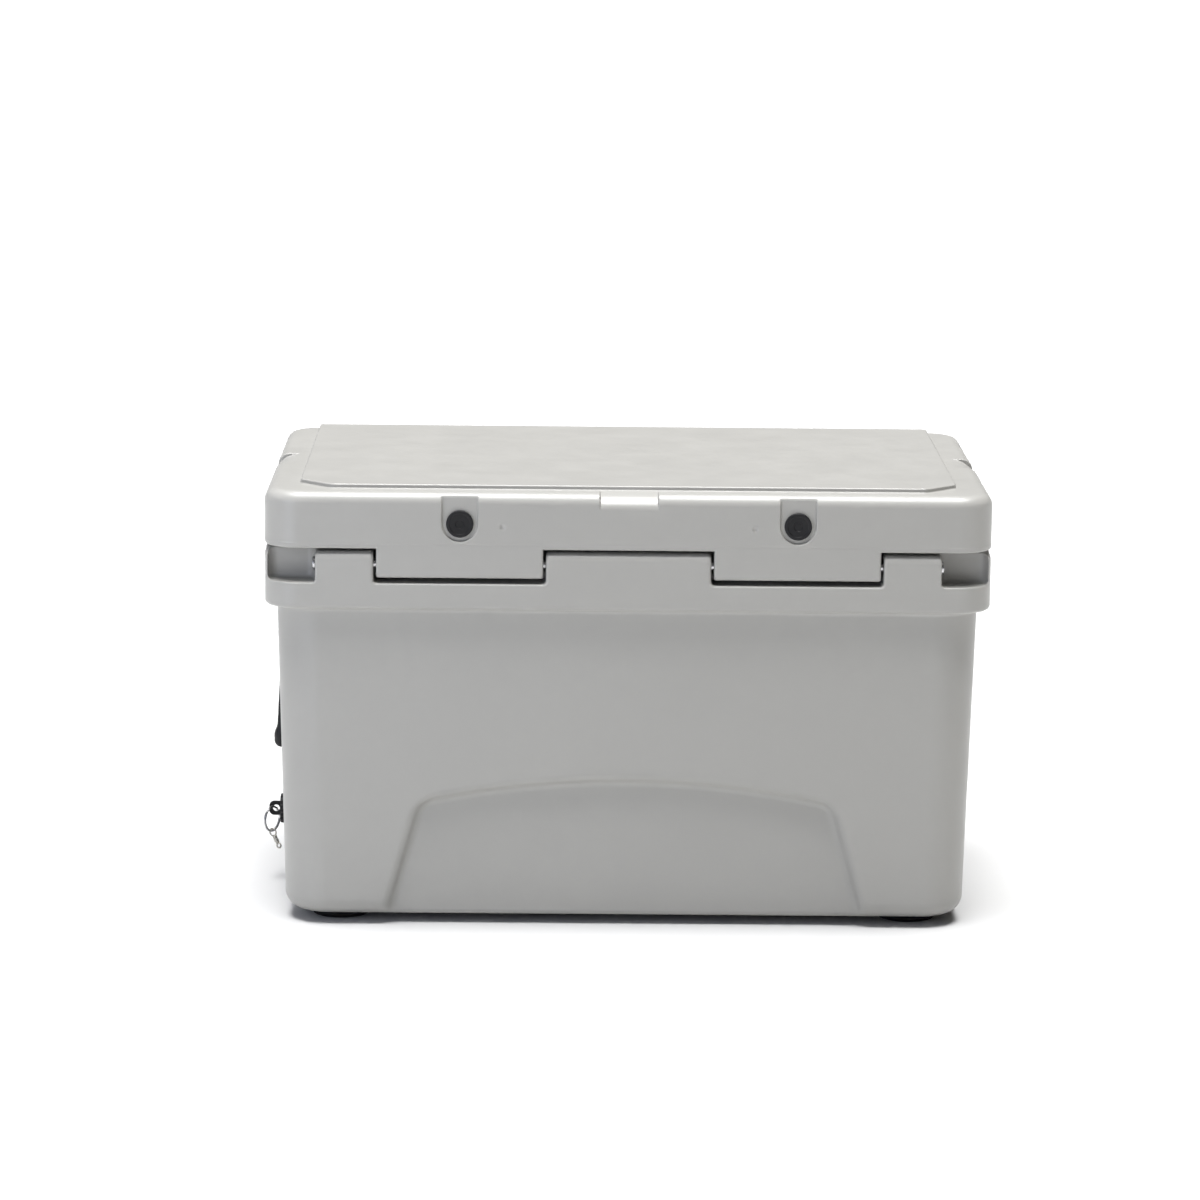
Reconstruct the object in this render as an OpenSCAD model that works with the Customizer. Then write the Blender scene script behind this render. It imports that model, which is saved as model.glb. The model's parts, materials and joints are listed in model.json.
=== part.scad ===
// Hard-sided cooler: hinged lid, two pull-over latches, two swing-up end handles,
// a screw-in drain plug and four rubber feet.
// The origin is on the floor under the middle of the whole box, ring and latches included.
// X runs along the length, the hinge side faces -Y, the latch side faces +Y, and Z is up.

/* [Overall size] */
// Length of the rim and lid, end to end
cooler_l = 654; // [545:1:785]
// Depth of the rim and lid, back to front
cooler_d = 410; // [342:1:492]
// Height from the floor to the top of the raised panel
cooler_h = 405; // [338:1:486]

/* [Body] */
// How far the feet hold the base off the floor
foot_gap = 8; // [6:0.5:12]
// Height of the thick rim
rim_h = 52; // [44:1:62]
// How far the rim stands out from the top of the wall
rim_overhang = 10; // [8:0.5:14]
// How much each wall leans in from the rim down to the base
body_taper = 7; // [0:0.5:12]
// Radius of the wall corners in plan
body_corner_r = 40; // [30:1:60]
// Radius along the bottom edge
base_fillet = 16; // [10:1:24]
// Radius of the rim and lid corners in plan
rim_corner_r = 32; // [24:1:50]
// Thickness of the moulded skin
skin = 4; // [3:0.1:5]
// Wall from the outside of the rim to the opening
rim_wall = 51; // [46:1:60]
// How much the inner walls lean in going down
liner_taper = 6; // [0:0.5:10]
// Radius of the ice compartment's corners
liner_corner_r = 32; // [20:1:45]
// Height of the inner floor over the base
inner_floor = 50; // [36:1:60]
// Depth of the arched recess in the front and back
arch_depth = 9; // [4:0.5:11]
// Height of the arch's crown over the base
arch_crown = 131; // [118:1:140]
// Height of the arch's shoulders over the base
arch_shoulder = 98; // [70:1:104]
// Radius of the arch's shoulders
arch_shoulder_r = 14; // [6:1:24]
// Width of the arch's sloped edge
arch_bevel = 7; // [3:0.5:10]

/* [Lid] */
// Height of the lid without its panel
lid_h = 51; // [46:0.5:60]
// Gap between the rim and the lid
lid_gap = 3; // [2:0.1:4]
// Radius along the lid's top edge
lid_edge_r = 11; // [6:0.5:14]
// Height of the raised panel
panel_h = 4; // [2:0.5:6]
// Corner cut of the raised panel
panel_chamfer = 25; // [10:1:40]
// Depth of the plug that enters the opening
lid_plug_h = 10; // [4:0.5:11]
// Width of the strap notches
notch_w = 52; // [30:1:64]
// Thickness of the lid gasket in plan
gasket_w = 10; // [6:0.5:12]

/* [Hinge] */
// Diameter of the hinge pins
pin_d = 8; // [6:0.1:9.6]
// Height of the hinge axis below the lid
axis_drop = 15; // [14:0.1:16]
// Length of the middle hinge block on the body
mid_block_l = 148; // [110:1:180]
// Length of each outer hinge block on the body
end_block_l = 52; // [40:1:62]
// Gap at each side of a hinge tab
tab_side_gap = 2.5; // [1.5:0.1:3.5]
// Length of the open pocket at each rear corner
corner_pocket_l = 43; // [34:1:50]

/* [Latches] */
// Width of a latch's strap
latch_w = 26; // [20:0.5:30]
// Width of a latch's cross head
latch_head_w = 50; // [42:1:54]
// Thickness of a latch's cross head
latch_t = 12; // [10:0.5:14]
// Diameter of the latch pins
latch_pin_d = 5; // [4:0.1:6]

/* [Handles] */
// Width of a handle between the middles of its arms
handle_w = 116; // [96:1:140]
// Width of a handle's arm
arm_w = 12; // [10:0.5:14]
// Diameter of the handle pins
handle_pin_d = 5; // [4:0.1:6]
// How far the left handle leans out from hanging straight
left_handle_lean = 2.7; // [0:0.1:5]

/* [Drain] */
// Height of the drain over the base
drain_up = 57; // [46:0.5:68]
// Diameter of the drain's bore
drain_bore = 16; // [13:0.5:17]
// Wall of the drain tube
drain_wall = 3; // [2:0.1:3.5]
// Outside diameter of the split ring
ring_d = 25; // [22:0.5:30]
// Diameter of the split ring's wire
ring_wire = 1.8; // [1.4:0.1:2]

/* [Feet] */
// Diameter of a foot
foot_d = 54; // [40:1:60]
// Distance from the base's edge to the middle of a foot
foot_in = 50; // [42:1:60]

/* [Hidden] */
$fn = 48;
hull_fn = 32;
eps = 0.05;
level_t = 0.2;
over = 1;
foam_gap = 0.25;
pin_slack = 0.05;
run_slack = 0.09;
move_gap = 0.4;

// Heights
base_z = foot_gap;
lid_top = cooler_h - panel_h;
lid_z = lid_top - lid_h;
rim_top = lid_z - lid_gap;
rim_z = rim_top - rim_h;
floor_z = base_z + inner_floor;

// Half sizes
half_l = cooler_l / 2;
half_d = cooler_d / 2;

// Hinge
tab_inset = 3.5;
tab_back = axis_drop - tab_inset;
tab_fillet_back = 4;
tab_fillet_front = 8;
axis_y = -half_d + tab_back;
axis_z = lid_z - axis_drop;
tab_clear_below = 4.5;
tab_clear_front = 6;
hinge_floor_z = axis_z - tab_back - tab_clear_below;
hinge_wall_y = axis_y + tab_back + tab_clear_front;
pocket_end_wall = 3.5;
pocket_outer_x = half_l - pocket_end_wall;
pocket_inner_x = pocket_outer_x - corner_pocket_l;
slot_outer_x = pocket_inner_x - end_block_l;
slot_inner_x = mid_block_l / 2;
tab_outer_x = slot_outer_x - tab_side_gap;
tab_inner_x = slot_inner_x + tab_side_gap;
tab_mid_x = (tab_outer_x + tab_inner_x) / 2;
pin_head_d = 12;
pin_head_h = 2.5;
lid_swing_gap = 1.5;
pin_depth = 28;
pin_inner_x = slot_inner_x - pin_depth;

// Lid details
plug_clear = 3;
opening_x = half_l - rim_wall;
opening_y = half_d - rim_wall;
gasket_out = 5;
gasket_groove = 2;
gasket_lift = 0.3;
notch_drop = 9;
notch_depth = 14;
panel_end = 29;
panel_back = 38;
panel_front = 12;
lid_base_r = 2;

// Foam-fill caps
cap_d = 24.5;
cap_t = 3;
cap_pocket_w = 32;
cap_pocket_depth = 3;
cap_pocket_up = 7;
cap_stub_d = 16;
cap_stub_l = 9;
cap_z = lid_z + cap_pocket_up + cap_pocket_w / 2;
base_cap_x = 100;
base_cap_recess_d = 26;

// Screws
screw_d = 4;
screw_l = 12;
screw_head_d = 8;
screw_head_h = 2.4;
boss_wall = 4;

// Latches
latch_seat_gap = 0.7;
latch_eye_r = latch_t / 2;
latch_y = half_d - rim_overhang + latch_seat_gap + latch_eye_r;
latch_up = 6;
latch_z = rim_z + latch_up;
latch_neck_t = 9;
latch_head_h = 17;
latch_head_up = 12;
keeper_gap = 0.5;
latch_reach = lid_z + latch_head_up + keeper_gap - latch_z;
latch_pin_over = 4.6;
ear_t = 4;
ear_gap = 0.5;
anchor_half_w = latch_w / 2 + ear_gap + ear_t + screw_head_d + 2;
anchor_t = 2.5;
anchor_h = 22;
anchor_screw_x = latch_w / 2 + ear_gap + ear_t + screw_head_d / 2 + 0.6;
slot_gap = 1;

// Handles
handle_down = 65;
handle_z = rim_z - handle_down;
eye_r = 6;
bracket_t = 3;
bracket_sink = 10;
bracket_h = 36;
bracket_margin = 6;
handle_axis_out = bracket_t + eye_r + move_gap;
grip_t = 15.5;
grip_h = 19;
grip_shift = -0.5;
grip_over_drain = 81;
well_below = 12;
arm_t = 10;

// Drain
drain_z = base_z + drain_up;
flange_d = 44;
flange_t = 4;
washer_t = 1.5;
seat_sink = 1.5;
seat_slack = 1;
nut_d = 32;
nut_t = 8;
tube_inside = 12;
trough_w = 44;
trough_l = 70;
trough_floor = drain_up - nut_d / 2 - move_gap;
seal_t = 1.8;
plug_head_d = 28;
plug_head_t = 6;
plug_grips = 12;
plug_grip_d = 2.4;
plug_shank_l = 20;
plug_slack = 0.3;
tab_t = 2.6;
tab_h = 13.6;
tab_l = 10.8;
tab_hole_r = 3.1;
tab_hole_in = 6.6;
ring_turn = 32;
ring_lean = 36;
link_gap = 0.3;
swivel_eye_d = 8.6;
swivel_wire = 1.5;
swivel_barrel_d = 4.2;
swivel_barrel_l = 8;
swivel_loop_d = 6;
swivel_lean = 30;

// The rim's top edge on the hinge side is rounded until the lid's underside clears it
swing_r = axis_drop - lid_swing_gap;
axis_below_rim = axis_drop - lid_gap;
edge_sum = tab_back + axis_below_rim - swing_r;
edge_square = tab_back * tab_back + axis_below_rim * axis_below_rim - swing_r * swing_r;
rim_back_r = edge_sum - sqrt(edge_sum * edge_sum - edge_square);

function wall_inset(z) = rim_overhang + body_taper * (rim_z - z) / (rim_z - base_z);
function wall_x(z) = half_l - wall_inset(z);
function wall_y(z) = half_d - wall_inset(z);
function liner_inset(z) = rim_wall + liner_taper * (rim_top - z) / (rim_top - floor_z);
function liner_x(z) = half_l - liner_inset(z);
function liner_y(z) = half_d - liner_inset(z);

handle_x = wall_x(handle_z) - bracket_sink + handle_axis_out;
handle_drop = handle_z - drain_z - grip_over_drain;
drain_seat_x = wall_x(drain_z) - seat_sink;
flange_in_x = drain_seat_x + washer_t;
flange_out_x = flange_in_x + flange_t;
seal_in_x = flange_out_x + plug_slack;
plug_under_x = seal_in_x + seal_t + plug_slack;
plug_face_x = plug_under_x + plug_head_t;
tab_hole_x = plug_face_x + tab_l - tab_hole_in;
ring_r = (ring_d - ring_wire) / 2;
ring_out = ring_r * sin(ring_lean);
ring_z = drain_z - ring_r * cos(ring_lean);
ring_low_z = ring_z - ring_r;
ring_reach = tab_hole_x + (ring_out + ring_r) * sin(ring_turn) + ring_wire / 2;
handle_reach = handle_x + max(eye_r, arm_t / 2, grip_shift + grip_t / 2);
middle_x = (ring_reach - max(half_l, handle_reach)) / 2;
middle_y = (half_d - latch_y - latch_eye_r) / 2;
foot_x = wall_x(base_z) - foot_in;
foot_y = wall_y(base_z) - foot_in;
foot_sink = 2;
foot_screw_d = 5;
foot_screw_l = 14;
foot_head_d = 10;
foot_head_h = 3;
foot_head_up = 4;

// ---- Shared shapes ----

// Outline with four round corners
module rounded_outline(half_x, half_y, r) {
    square([2 * half_x, 2 * (half_y - r)], center = true);
    square([2 * (half_x - r), 2 * half_y], center = true);
    for (sx = [-1, 1], sy = [-1, 1]) {
        translate([sx * (half_x - r), sy * (half_y - r)]) circle(r);
    }
}

// Four thin corner discs: one level of a hulled box
module level(half_x, half_y, r, z) {
    for (sx = [-1, 1], sy = [-1, 1]) {
        translate([sx * (half_x - r), sy * (half_y - r), z])
            cylinder(r = r, h = level_t, $fn = hull_fn);
    }
}

// Box between two corners
module block(low, high) {
    translate(low) cube(high - low);
}

// Box that is the same on both sides of the YZ plane
module block_pair(low, high) {
    for (side = [0, 1]) mirror([side, 0, 0]) block(low, high);
}

// Rod along X between two places
module rod_x(x0, x1, y, z, d) {
    translate([x0, y, z]) rotate([0, 90, 0]) cylinder(d = d, h = x1 - x0);
}

// Rod along Y between two places
module rod_y(x, y0, y1, z, d) {
    translate([x, y1, z]) rotate([90, 0, 0]) cylinder(d = d, h = y1 - y0);
}

// Screw with its head on the XY plane and its shank going down
module pan_screw(shank_d, shank_l, head_d, head_h) {
    translate([0, 0, -shank_l]) cylinder(d = shank_d, h = shank_l + eps);
    difference() {
        cylinder(d = head_d, h = head_h);
        translate([0, 0, head_h / 2]) cylinder(d = head_d / 2, h = head_h, $fn = 6);
    }
}

// Cap with a stub, its flat back on the XY plane and its stub going down
module fill_cap(stub_l) {
    difference() {
        cylinder(d = cap_d, h = cap_t);
        translate([0, 0, cap_t - over]) cylinder(d = cap_d / 3, h = 2 * over);
    }
    translate([0, 0, -stub_l]) cylinder(d = cap_stub_d, h = stub_l + eps);
}

// ---- Body ----

// Tapered outer form, moved in by inset on every side
module body_form(inset, top) {
    fillet = base_fillet - inset;
    hull() {
        level(wall_x(top) - inset, wall_y(top) - inset, body_corner_r - inset, top - level_t);
        for (a = [0 : 30 : 90]) {
            z = base_z + inset + fillet * (1 - sin(a));
            back = inset + fillet * (1 - cos(a));
            level(wall_x(z) - back, wall_y(z) - back, body_corner_r - back, z);
        }
    }
}

// Tapered ice compartment, moved out by grow on its sides and floor
module liner_form(grow, top) {
    fillet = base_fillet + grow;
    hull() {
        level(liner_x(top) + grow, liner_y(top) + grow, liner_corner_r + grow, top - level_t);
        for (a = [0 : 30 : 90]) {
            z = floor_z - grow + fillet * (1 - sin(a));
            back = fillet * (1 - cos(a)) - grow;
            level(liner_x(z) - back, liner_y(z) - back, liner_corner_r - back, z);
        }
    }
}

// Drain trough in the inner floor
module trough(grow) {
    block([-liner_x(drain_z) - grow, -trough_w / 2 - grow, base_z + trough_floor - grow],
          [-liner_x(drain_z) + trough_l + grow, trough_w / 2 + grow, floor_z + base_fillet]);
}

arch_side = 89;
arch_lean = 42;
arch_half_w = wall_x(base_z) - arch_side;
arch_shoulder_x = arch_half_w - arch_lean;
arch_rise = arch_crown - arch_shoulder - arch_shoulder_r;
arch_r = (arch_shoulder_x * arch_shoulder_x + arch_rise * arch_rise) / (2 * arch_rise);
arch_steps = 12;

// One thin level of the arched recess, standing in the XZ plane
module arch_level(grow) {
    shoulder_z = base_z + arch_shoulder;
    crown_z = base_z + arch_crown + grow;
    half_low = arch_half_w + grow;
    crown = [for (i = [-arch_steps : arch_steps])
        let (x = arch_shoulder_x * i / arch_steps)
        [x, crown_z - arch_r + sqrt(arch_r * arch_r - x * x)]];
    rotate([90, 0, 0]) {
        for (sx = [-1, 1]) {
            translate([sx * arch_shoulder_x, shoulder_z])
                cylinder(r = arch_shoulder_r + grow, h = level_t, $fn = hull_fn);
        }
        linear_extrude(level_t)
            polygon(concat([[-half_low, 0]], crown, [[half_low, 0]]));
    }
}

// Arched recess with sloped edges in the back wall, leaning with the wall
module arch_cut() {
    hull() {
        translate([0, -wall_y(base_z) - 2 * over - level_t, 0]) arch_level(arch_bevel / 4);
        translate([0, arch_depth - wall_y(base_z), 0]) arch_level(-arch_bevel);
        translate([0, arch_depth - wall_y(base_z + arch_crown), 0]) arch_level(-arch_bevel);
    }
}

// Plain room behind the arched recess
module arch_room(grow) {
    shoulder_top = base_z + arch_crown + grow;
    half_w = arch_half_w + grow;
    lean = arch_side / 3;
    translate([0, arch_depth - wall_y(base_z) + grow, 0])
        rotate([90, 0, 0])
            linear_extrude(arch_depth + grow + 2 * body_taper)
                polygon([[-half_w, 0], [-half_w + lean, shoulder_top],
                         [half_w - lean, shoulder_top], [half_w, 0]]);
}

// Recesses for the hinge tabs and the open rear corners
module hinge_room(grow) {
    block_pair([slot_inner_x - grow, -half_d - over, hinge_floor_z - grow],
               [slot_outer_x + grow, hinge_wall_y + grow, rim_top + over]);
    block_pair([pocket_inner_x - grow, -half_d - over, hinge_floor_z - grow],
               [pocket_outer_x + grow, hinge_wall_y + grow, rim_top + over]);
}

// What the rounded top edge of the rim takes away on the hinge side
module back_edge() {
    difference() {
        block([-half_l - over, -half_d - over, rim_top - rim_back_r],
              [half_l + over, -half_d + rim_back_r, rim_top + over]);
        rod_x(-half_l - 2 * over, half_l + 2 * over, -half_d + rim_back_r, rim_top - rim_back_r, 2 * rim_back_r);
    }
}

// Slots through the rim for the latches, with a pocket for each anchor
module latch_room(grow) {
    wall_face = half_d - rim_overhang;
    slot_half = anchor_half_w + slot_gap + grow;
    block_pair([tab_mid_x - slot_half, wall_face - grow, rim_z - over],
               [tab_mid_x + slot_half, half_d + over, rim_top + over]);
    anchor_half = anchor_half_w + pin_slack + grow;
    block_pair([tab_mid_x - anchor_half, wall_face - anchor_t - grow, latch_z - anchor_h / 2 - pin_slack - grow],
               [tab_mid_x + anchor_half, wall_face + over, latch_z + anchor_h / 2 + pin_slack + grow]);
}

// Wells in the ends for the handles, with their brackets at the top
module handle_room(grow) {
    half_w = bracket_half_w + pin_slack + grow;
    well_low = handle_z - handle_drop - grip_h / 2 - well_below - grow;
    block_pair([wall_x(handle_z) - bracket_sink - grow, -half_w, well_low],
               [half_l, half_w, handle_z + bracket_h / 2 + pin_slack + grow]);
}

bracket_half_w = handle_w / 2 + arm_w / 2 + ear_gap + ear_t + bracket_margin;

// Places of the screws that hold the handle brackets, on the right end
module bracket_screw_places() {
    spread = handle_w / 2 - arm_w / 2 - ear_gap - ear_t - screw_head_d;
    for (y = [-spread, spread], dz = [-bracket_h / 4, bracket_h / 4]) {
        translate([wall_x(handle_z) - bracket_sink + bracket_t, y, handle_z + dz])
            rotate([0, 90, 0]) children();
    }
}

// Places of the screws that hold the latch anchors
module anchor_screw_places() {
    for (sx = [-1, 1], dx = [-anchor_screw_x, anchor_screw_x]) {
        translate([sx * tab_mid_x + dx, half_d - rim_overhang, latch_z])
            rotate([-90, 0, 0]) children();
    }
}

// Places of the four feet
module foot_places() {
    for (sx = [-1, 1], sy = [-1, 1]) {
        translate([sx * foot_x, sy * foot_y, 0]) children();
    }
}

// Solid plastic kept around every screw and pin, and around the drain tube
module body_bosses(grow) {
    boss_d = 2 * (screw_d / 2 + boss_wall + grow);
    boss_l = screw_l + boss_wall + grow;
    for (side = [0, 1]) {
        mirror([side, 0, 0]) bracket_screw_places()
            translate([0, 0, -boss_l]) cylinder(d = boss_d, h = boss_l);
    }
    anchor_screw_places() translate([0, 0, -boss_l]) cylinder(d = boss_d, h = boss_l);
    foot_boss_h = base_z + foot_sink + foot_screw_l + boss_wall + grow;
    foot_places() cylinder(d = foot_screw_d + 2 * (boss_wall + grow), h = foot_boss_h);
    rod_x(-half_l, -liner_x(drain_z) + over, 0, drain_z, tube_d + 2 * (skin + grow));
    for (side = [0, 1]) mirror([side, 0, 0])
        rod_x(pin_inner_x - boss_wall - grow, pocket_inner_x, axis_y, axis_z, pin_d + 2 * (boss_wall + grow));
    foot_places() cylinder(d = foot_d + 2 * (skin + grow), h = base_z + foot_sink + skin + grow);
}

tube_d = drain_bore + 2 * drain_wall;

// Room for the foam between the outer skin and the liner
module body_room(gap) {
    difference() {
        body_form(skin + gap, rim_top - skin - gap);
        liner_form(skin + gap, rim_top + over);
        trough(skin + gap);
        for (side = [0, 1]) mirror([0, side, 0]) arch_room(skin + gap);
        hinge_room(skin + gap);
        latch_room(skin + gap);
        handle_room(skin + gap);
        body_bosses(gap);
        base_cap_bores(cap_stub_d + 2 * gap);
        base_cap_recesses(skin + gap);
    }
}

module base_cap_bores(d) {
    for (x = [-base_cap_x, base_cap_x]) {
        translate([x, 0, 0]) cylinder(d = d, h = base_z + cap_t + cap_stub_l + foam_gap);
    }
}

module base_cap_recesses(grow) {
    for (x = [-base_cap_x, base_cap_x]) {
        translate([x, 0, 0]) cylinder(d = base_cap_recess_d + 2 * grow, h = base_z + cap_t + grow);
    }
}

// Holes for pins and screws in the body
module body_bores() {
    for (side = [0, 1]) mirror([side, 0, 0]) {
        rod_x(pin_inner_x, pocket_inner_x + over, axis_y, axis_z, pin_d + 2 * pin_slack);
        bracket_screw_places() screw_hole();
    }
    anchor_screw_places() screw_hole();
    foot_places() cylinder(d = foot_screw_d + 2 * pin_slack, h = base_z + foot_sink + foot_screw_l);
    foot_places() cylinder(d = foot_d + 2 * pin_slack, h = base_z + foot_sink);
    rod_x(-half_l, -liner_x(drain_z) + over, 0, drain_z, tube_d + 2 * pin_slack);
    rod_x(-half_l, -drain_seat_x, 0, drain_z, flange_d + 2 * seat_slack);
    base_cap_bores(cap_stub_d + 2 * pin_slack);
    base_cap_recesses(0);
}

module screw_hole() {
    translate([0, 0, -screw_l - pin_slack])
        cylinder(d = screw_d + 2 * pin_slack, h = screw_l + over);
}

module body_shell() {
    color([0.80, 0.80, 0.78]) difference() {
        union() {
            body_form(0, rim_z + over);
            translate([0, 0, rim_z])
                linear_extrude(rim_h) rounded_outline(half_l, half_d, rim_corner_r);
        }
        body_room(0);
        liner_form(0, rim_top + over);
        trough(0);
        for (side = [0, 1]) mirror([0, side, 0]) arch_cut();
        hinge_room(0);
        back_edge();
        latch_room(0);
        handle_room(0);
        body_bores();
    }
}

module body_foam() {
    color([0.93, 0.88, 0.70]) body_room(foam_gap);
}

module base_fill_caps() {
    color([0.16, 0.16, 0.17]) for (x = [-base_cap_x, base_cap_x]) {
        translate([x, 0, base_z + cap_t]) mirror([0, 0, 1]) fill_cap(cap_stub_l);
    }
}

module foot() {
    color([0.10, 0.10, 0.11]) difference() {
        union() {
            cylinder(d1 = foot_d - 3, d2 = foot_d, h = 3);
            translate([0, 0, 3]) cylinder(d = foot_d, h = base_z + foot_sink - 3);
        }
        translate([0, 0, -over]) cylinder(d = foot_screw_d + 2 * pin_slack, h = cooler_h);
        translate([0, 0, -over]) cylinder(d = foot_head_d + 2, h = foot_head_up + foot_head_h + over);
    }
}

module foot_at(sx, sy) {
    translate([sx * foot_x, sy * foot_y, 0]) foot();
}

module foot_screws() {
    head_z = foot_head_up + foot_head_h;
    color([0.75, 0.76, 0.77]) foot_places() {
        translate([0, 0, head_z]) mirror([0, 0, 1])
            pan_screw(foot_screw_d, base_z + foot_sink + foot_screw_l - head_z - over, foot_head_d, foot_head_h);
    }
}

// Pin with a flat head that shows in the open rear corner
module hinge_pin() {
    color([0.75, 0.76, 0.77]) {
        rod_x(pin_inner_x + over, pocket_inner_x + eps, axis_y, axis_z, pin_d);
        rod_x(pocket_inner_x, pocket_inner_x + pin_head_h, axis_y, axis_z, pin_head_d);
    }
}

// ---- Lid ----

module lid_form(inset, low, top_r) {
    top = lid_top - inset;
    hull() {
        level(half_l - inset - lid_base_r, half_d - inset - lid_base_r, rim_corner_r - inset - lid_base_r, low);
        level(half_l - inset, half_d - inset, rim_corner_r - inset, low + lid_base_r);
        for (a = [0 : 30 : 90]) {
            z = top - top_r * (1 - sin(a)) - level_t;
            back = inset + top_r * (1 - cos(a));
            level(half_l - back, half_d - back, rim_corner_r - back, z);
        }
    }
}

// Pockets for the foam-fill caps, open upward
module cap_pockets(grow) {
    w = cap_pocket_w + 2 * grow;
    face = -half_d + cap_pocket_depth + grow;
    for (sx = [-1, 1]) {
        rod_y(sx * tab_mid_x, -half_d - over, face, cap_z, w);
        block([sx * tab_mid_x - w / 2, -half_d - over, cap_z],
              [sx * tab_mid_x + w / 2, face, lid_top + over]);
    }
}

// Sloped notch for a tie-down strap, in the top edge of the side at -Y
module strap_notch(grow, face) {
    drop = notch_drop + grow;
    depth = notch_depth + grow;
    slope = drop / depth;
    translate([-notch_w / 2 - grow, -face, lid_top]) rotate([90, 0, 90])
        linear_extrude(notch_w + 2 * grow)
            polygon([[-over, -drop - over * slope], [depth + over, over * slope], [-over, over * slope]]);
}

module strap_notches(grow) {
    for (side = [0, 1]) {
        rotate([0, 0, 180 * side]) strap_notch(grow, half_d);
        rotate([0, 0, 90 + 180 * side]) strap_notch(grow, half_l);
    }
}

// Keeper slots for the raised latches: a narrow slot with a wide pocket over it
module keeper_slots(grow) {
    face = half_d - rim_overhang - grow;
    neck_half = latch_w / 2 + slot_gap + grow;
    head_half = latch_head_w / 2 + slot_gap + grow;
    head_low = lid_z + latch_head_up - grow;
    head_high = lid_z + latch_head_up + latch_head_h + 2 * slot_gap + grow;
    block_pair([tab_mid_x - neck_half, face, lid_z - over - grow],
               [tab_mid_x + neck_half, half_d + over, head_high]);
    block_pair([tab_mid_x - head_half, face, head_low],
               [tab_mid_x + head_half, half_d + over, head_high]);
}

// Room for the foam in the lid and its plug
module lid_room(gap) {
    inset = skin + gap;
    difference() {
        union() {
            lid_form(inset, lid_z + inset, lid_edge_r - skin);
            translate([0, 0, lid_z - lid_plug_h + inset])
                linear_extrude(lid_plug_h + over)
                    rounded_outline(opening_x - plug_clear - inset, opening_y - plug_clear - inset,
                                    liner_corner_r - plug_clear - inset);
        }
        cap_pockets(inset);
        strap_notches(inset);
        keeper_slots(inset);
        cap_bores(cap_stub_d + 2 * gap);
    }
}

module cap_bores(d) {
    for (sx = [-1, 1]) {
        rod_y(sx * tab_mid_x, -half_d, -half_d + cap_pocket_depth + cap_stub_l + foam_gap, cap_z, d);
    }
}

// Outline of a hinge tab in the YZ plane, round its axis
module tab_outline() {
    back = -tab_back + tab_fillet_back;
    front = tab_back - tab_fillet_front;
    polygon([[-tab_back, axis_drop + over], [-tab_back, back], [back, -tab_back],
             [front, -tab_back], [tab_back, -front], [tab_back, axis_drop + over]]);
    translate([back, back]) circle(tab_fillet_back);
    translate([front, -front]) circle(tab_fillet_front);
}

module hinge_tab() {
    translate([tab_inner_x, axis_y, axis_z])
        rotate([90, 0, 90]) linear_extrude(tab_outer_x - tab_inner_x) tab_outline();
}

module lid_panel() {
    x = half_l - panel_end;
    y0 = -half_d + panel_back;
    y1 = half_d - panel_front;
    c = panel_chamfer;
    translate([0, 0, lid_top - over - level_t]) linear_extrude(panel_h + over + level_t)
        polygon([[-x + c, y0], [x - c, y0], [x, y0 + c], [x, y1 - c],
                 [x - c, y1], [-x + c, y1], [-x, y1 - c], [-x, y0 + c]]);
}

module gasket_ring(grow, low, high) {
    inner = gasket_out - grow;
    outer = gasket_out + gasket_w + grow;
    translate([0, 0, low]) linear_extrude(high - low) difference() {
        rounded_outline(opening_x + outer, opening_y + outer, liner_corner_r + outer);
        rounded_outline(opening_x + inner, opening_y + inner, liner_corner_r + inner);
    }
}

module lid_shell() {
    color([0.82, 0.82, 0.80]) difference() {
        union() {
            lid_form(0, lid_z, lid_edge_r);
            lid_panel();
            for (side = [0, 1]) mirror([side, 0, 0]) hinge_tab();
            translate([0, 0, lid_z - lid_plug_h]) linear_extrude(lid_plug_h + over)
                rounded_outline(opening_x - plug_clear, opening_y - plug_clear, liner_corner_r - plug_clear);
        }
        lid_room(0);
        cap_pockets(0);
        strap_notches(0);
        keeper_slots(0);
        cap_bores(cap_stub_d + 2 * pin_slack);
        gasket_ring(pin_slack, lid_z - over, lid_z + gasket_groove);
        rod_x(-half_l, half_l, axis_y, axis_z, pin_d + 2 * run_slack);
    }
}

module lid_foam() {
    color([0.93, 0.88, 0.70]) lid_room(foam_gap);
}

module lid_gasket() {
    color([0.25, 0.25, 0.26]) gasket_ring(0, rim_top + gasket_lift, lid_z + gasket_groove);
}

module lid_fill_cap(sx) {
    color([0.16, 0.16, 0.17]) translate([sx * tab_mid_x, -half_d + cap_pocket_depth, cap_z])
        rotate([90, 0, 0]) fill_cap(cap_stub_l);
}

// ---- Latches, hanging released ----

module latch() {
    head_low = latch_reach + latch_head_h;
    color([0.12, 0.12, 0.13]) translate([tab_mid_x, latch_y, latch_z]) difference() {
        union() {
            rod_x(-latch_w / 2, latch_w / 2, 0, 0, latch_t);
            block([-latch_w / 2, -latch_neck_t / 2, -latch_reach - over],
                  [latch_w / 2, latch_neck_t / 2, 0]);
            translate([0, 0, -head_low]) linear_extrude(latch_head_h)
                rounded_outline(latch_head_w / 2, latch_t / 2, latch_t / 3);
        }
        rod_x(-latch_w, latch_w, 0, 0, latch_pin_d + 2 * run_slack);
    }
}

module latch_pin() {
    reach = latch_w / 2 + ear_gap + ear_t;
    color([0.75, 0.76, 0.77]) rod_x(tab_mid_x - reach, tab_mid_x + reach, latch_y, latch_z, latch_pin_d);
}

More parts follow.
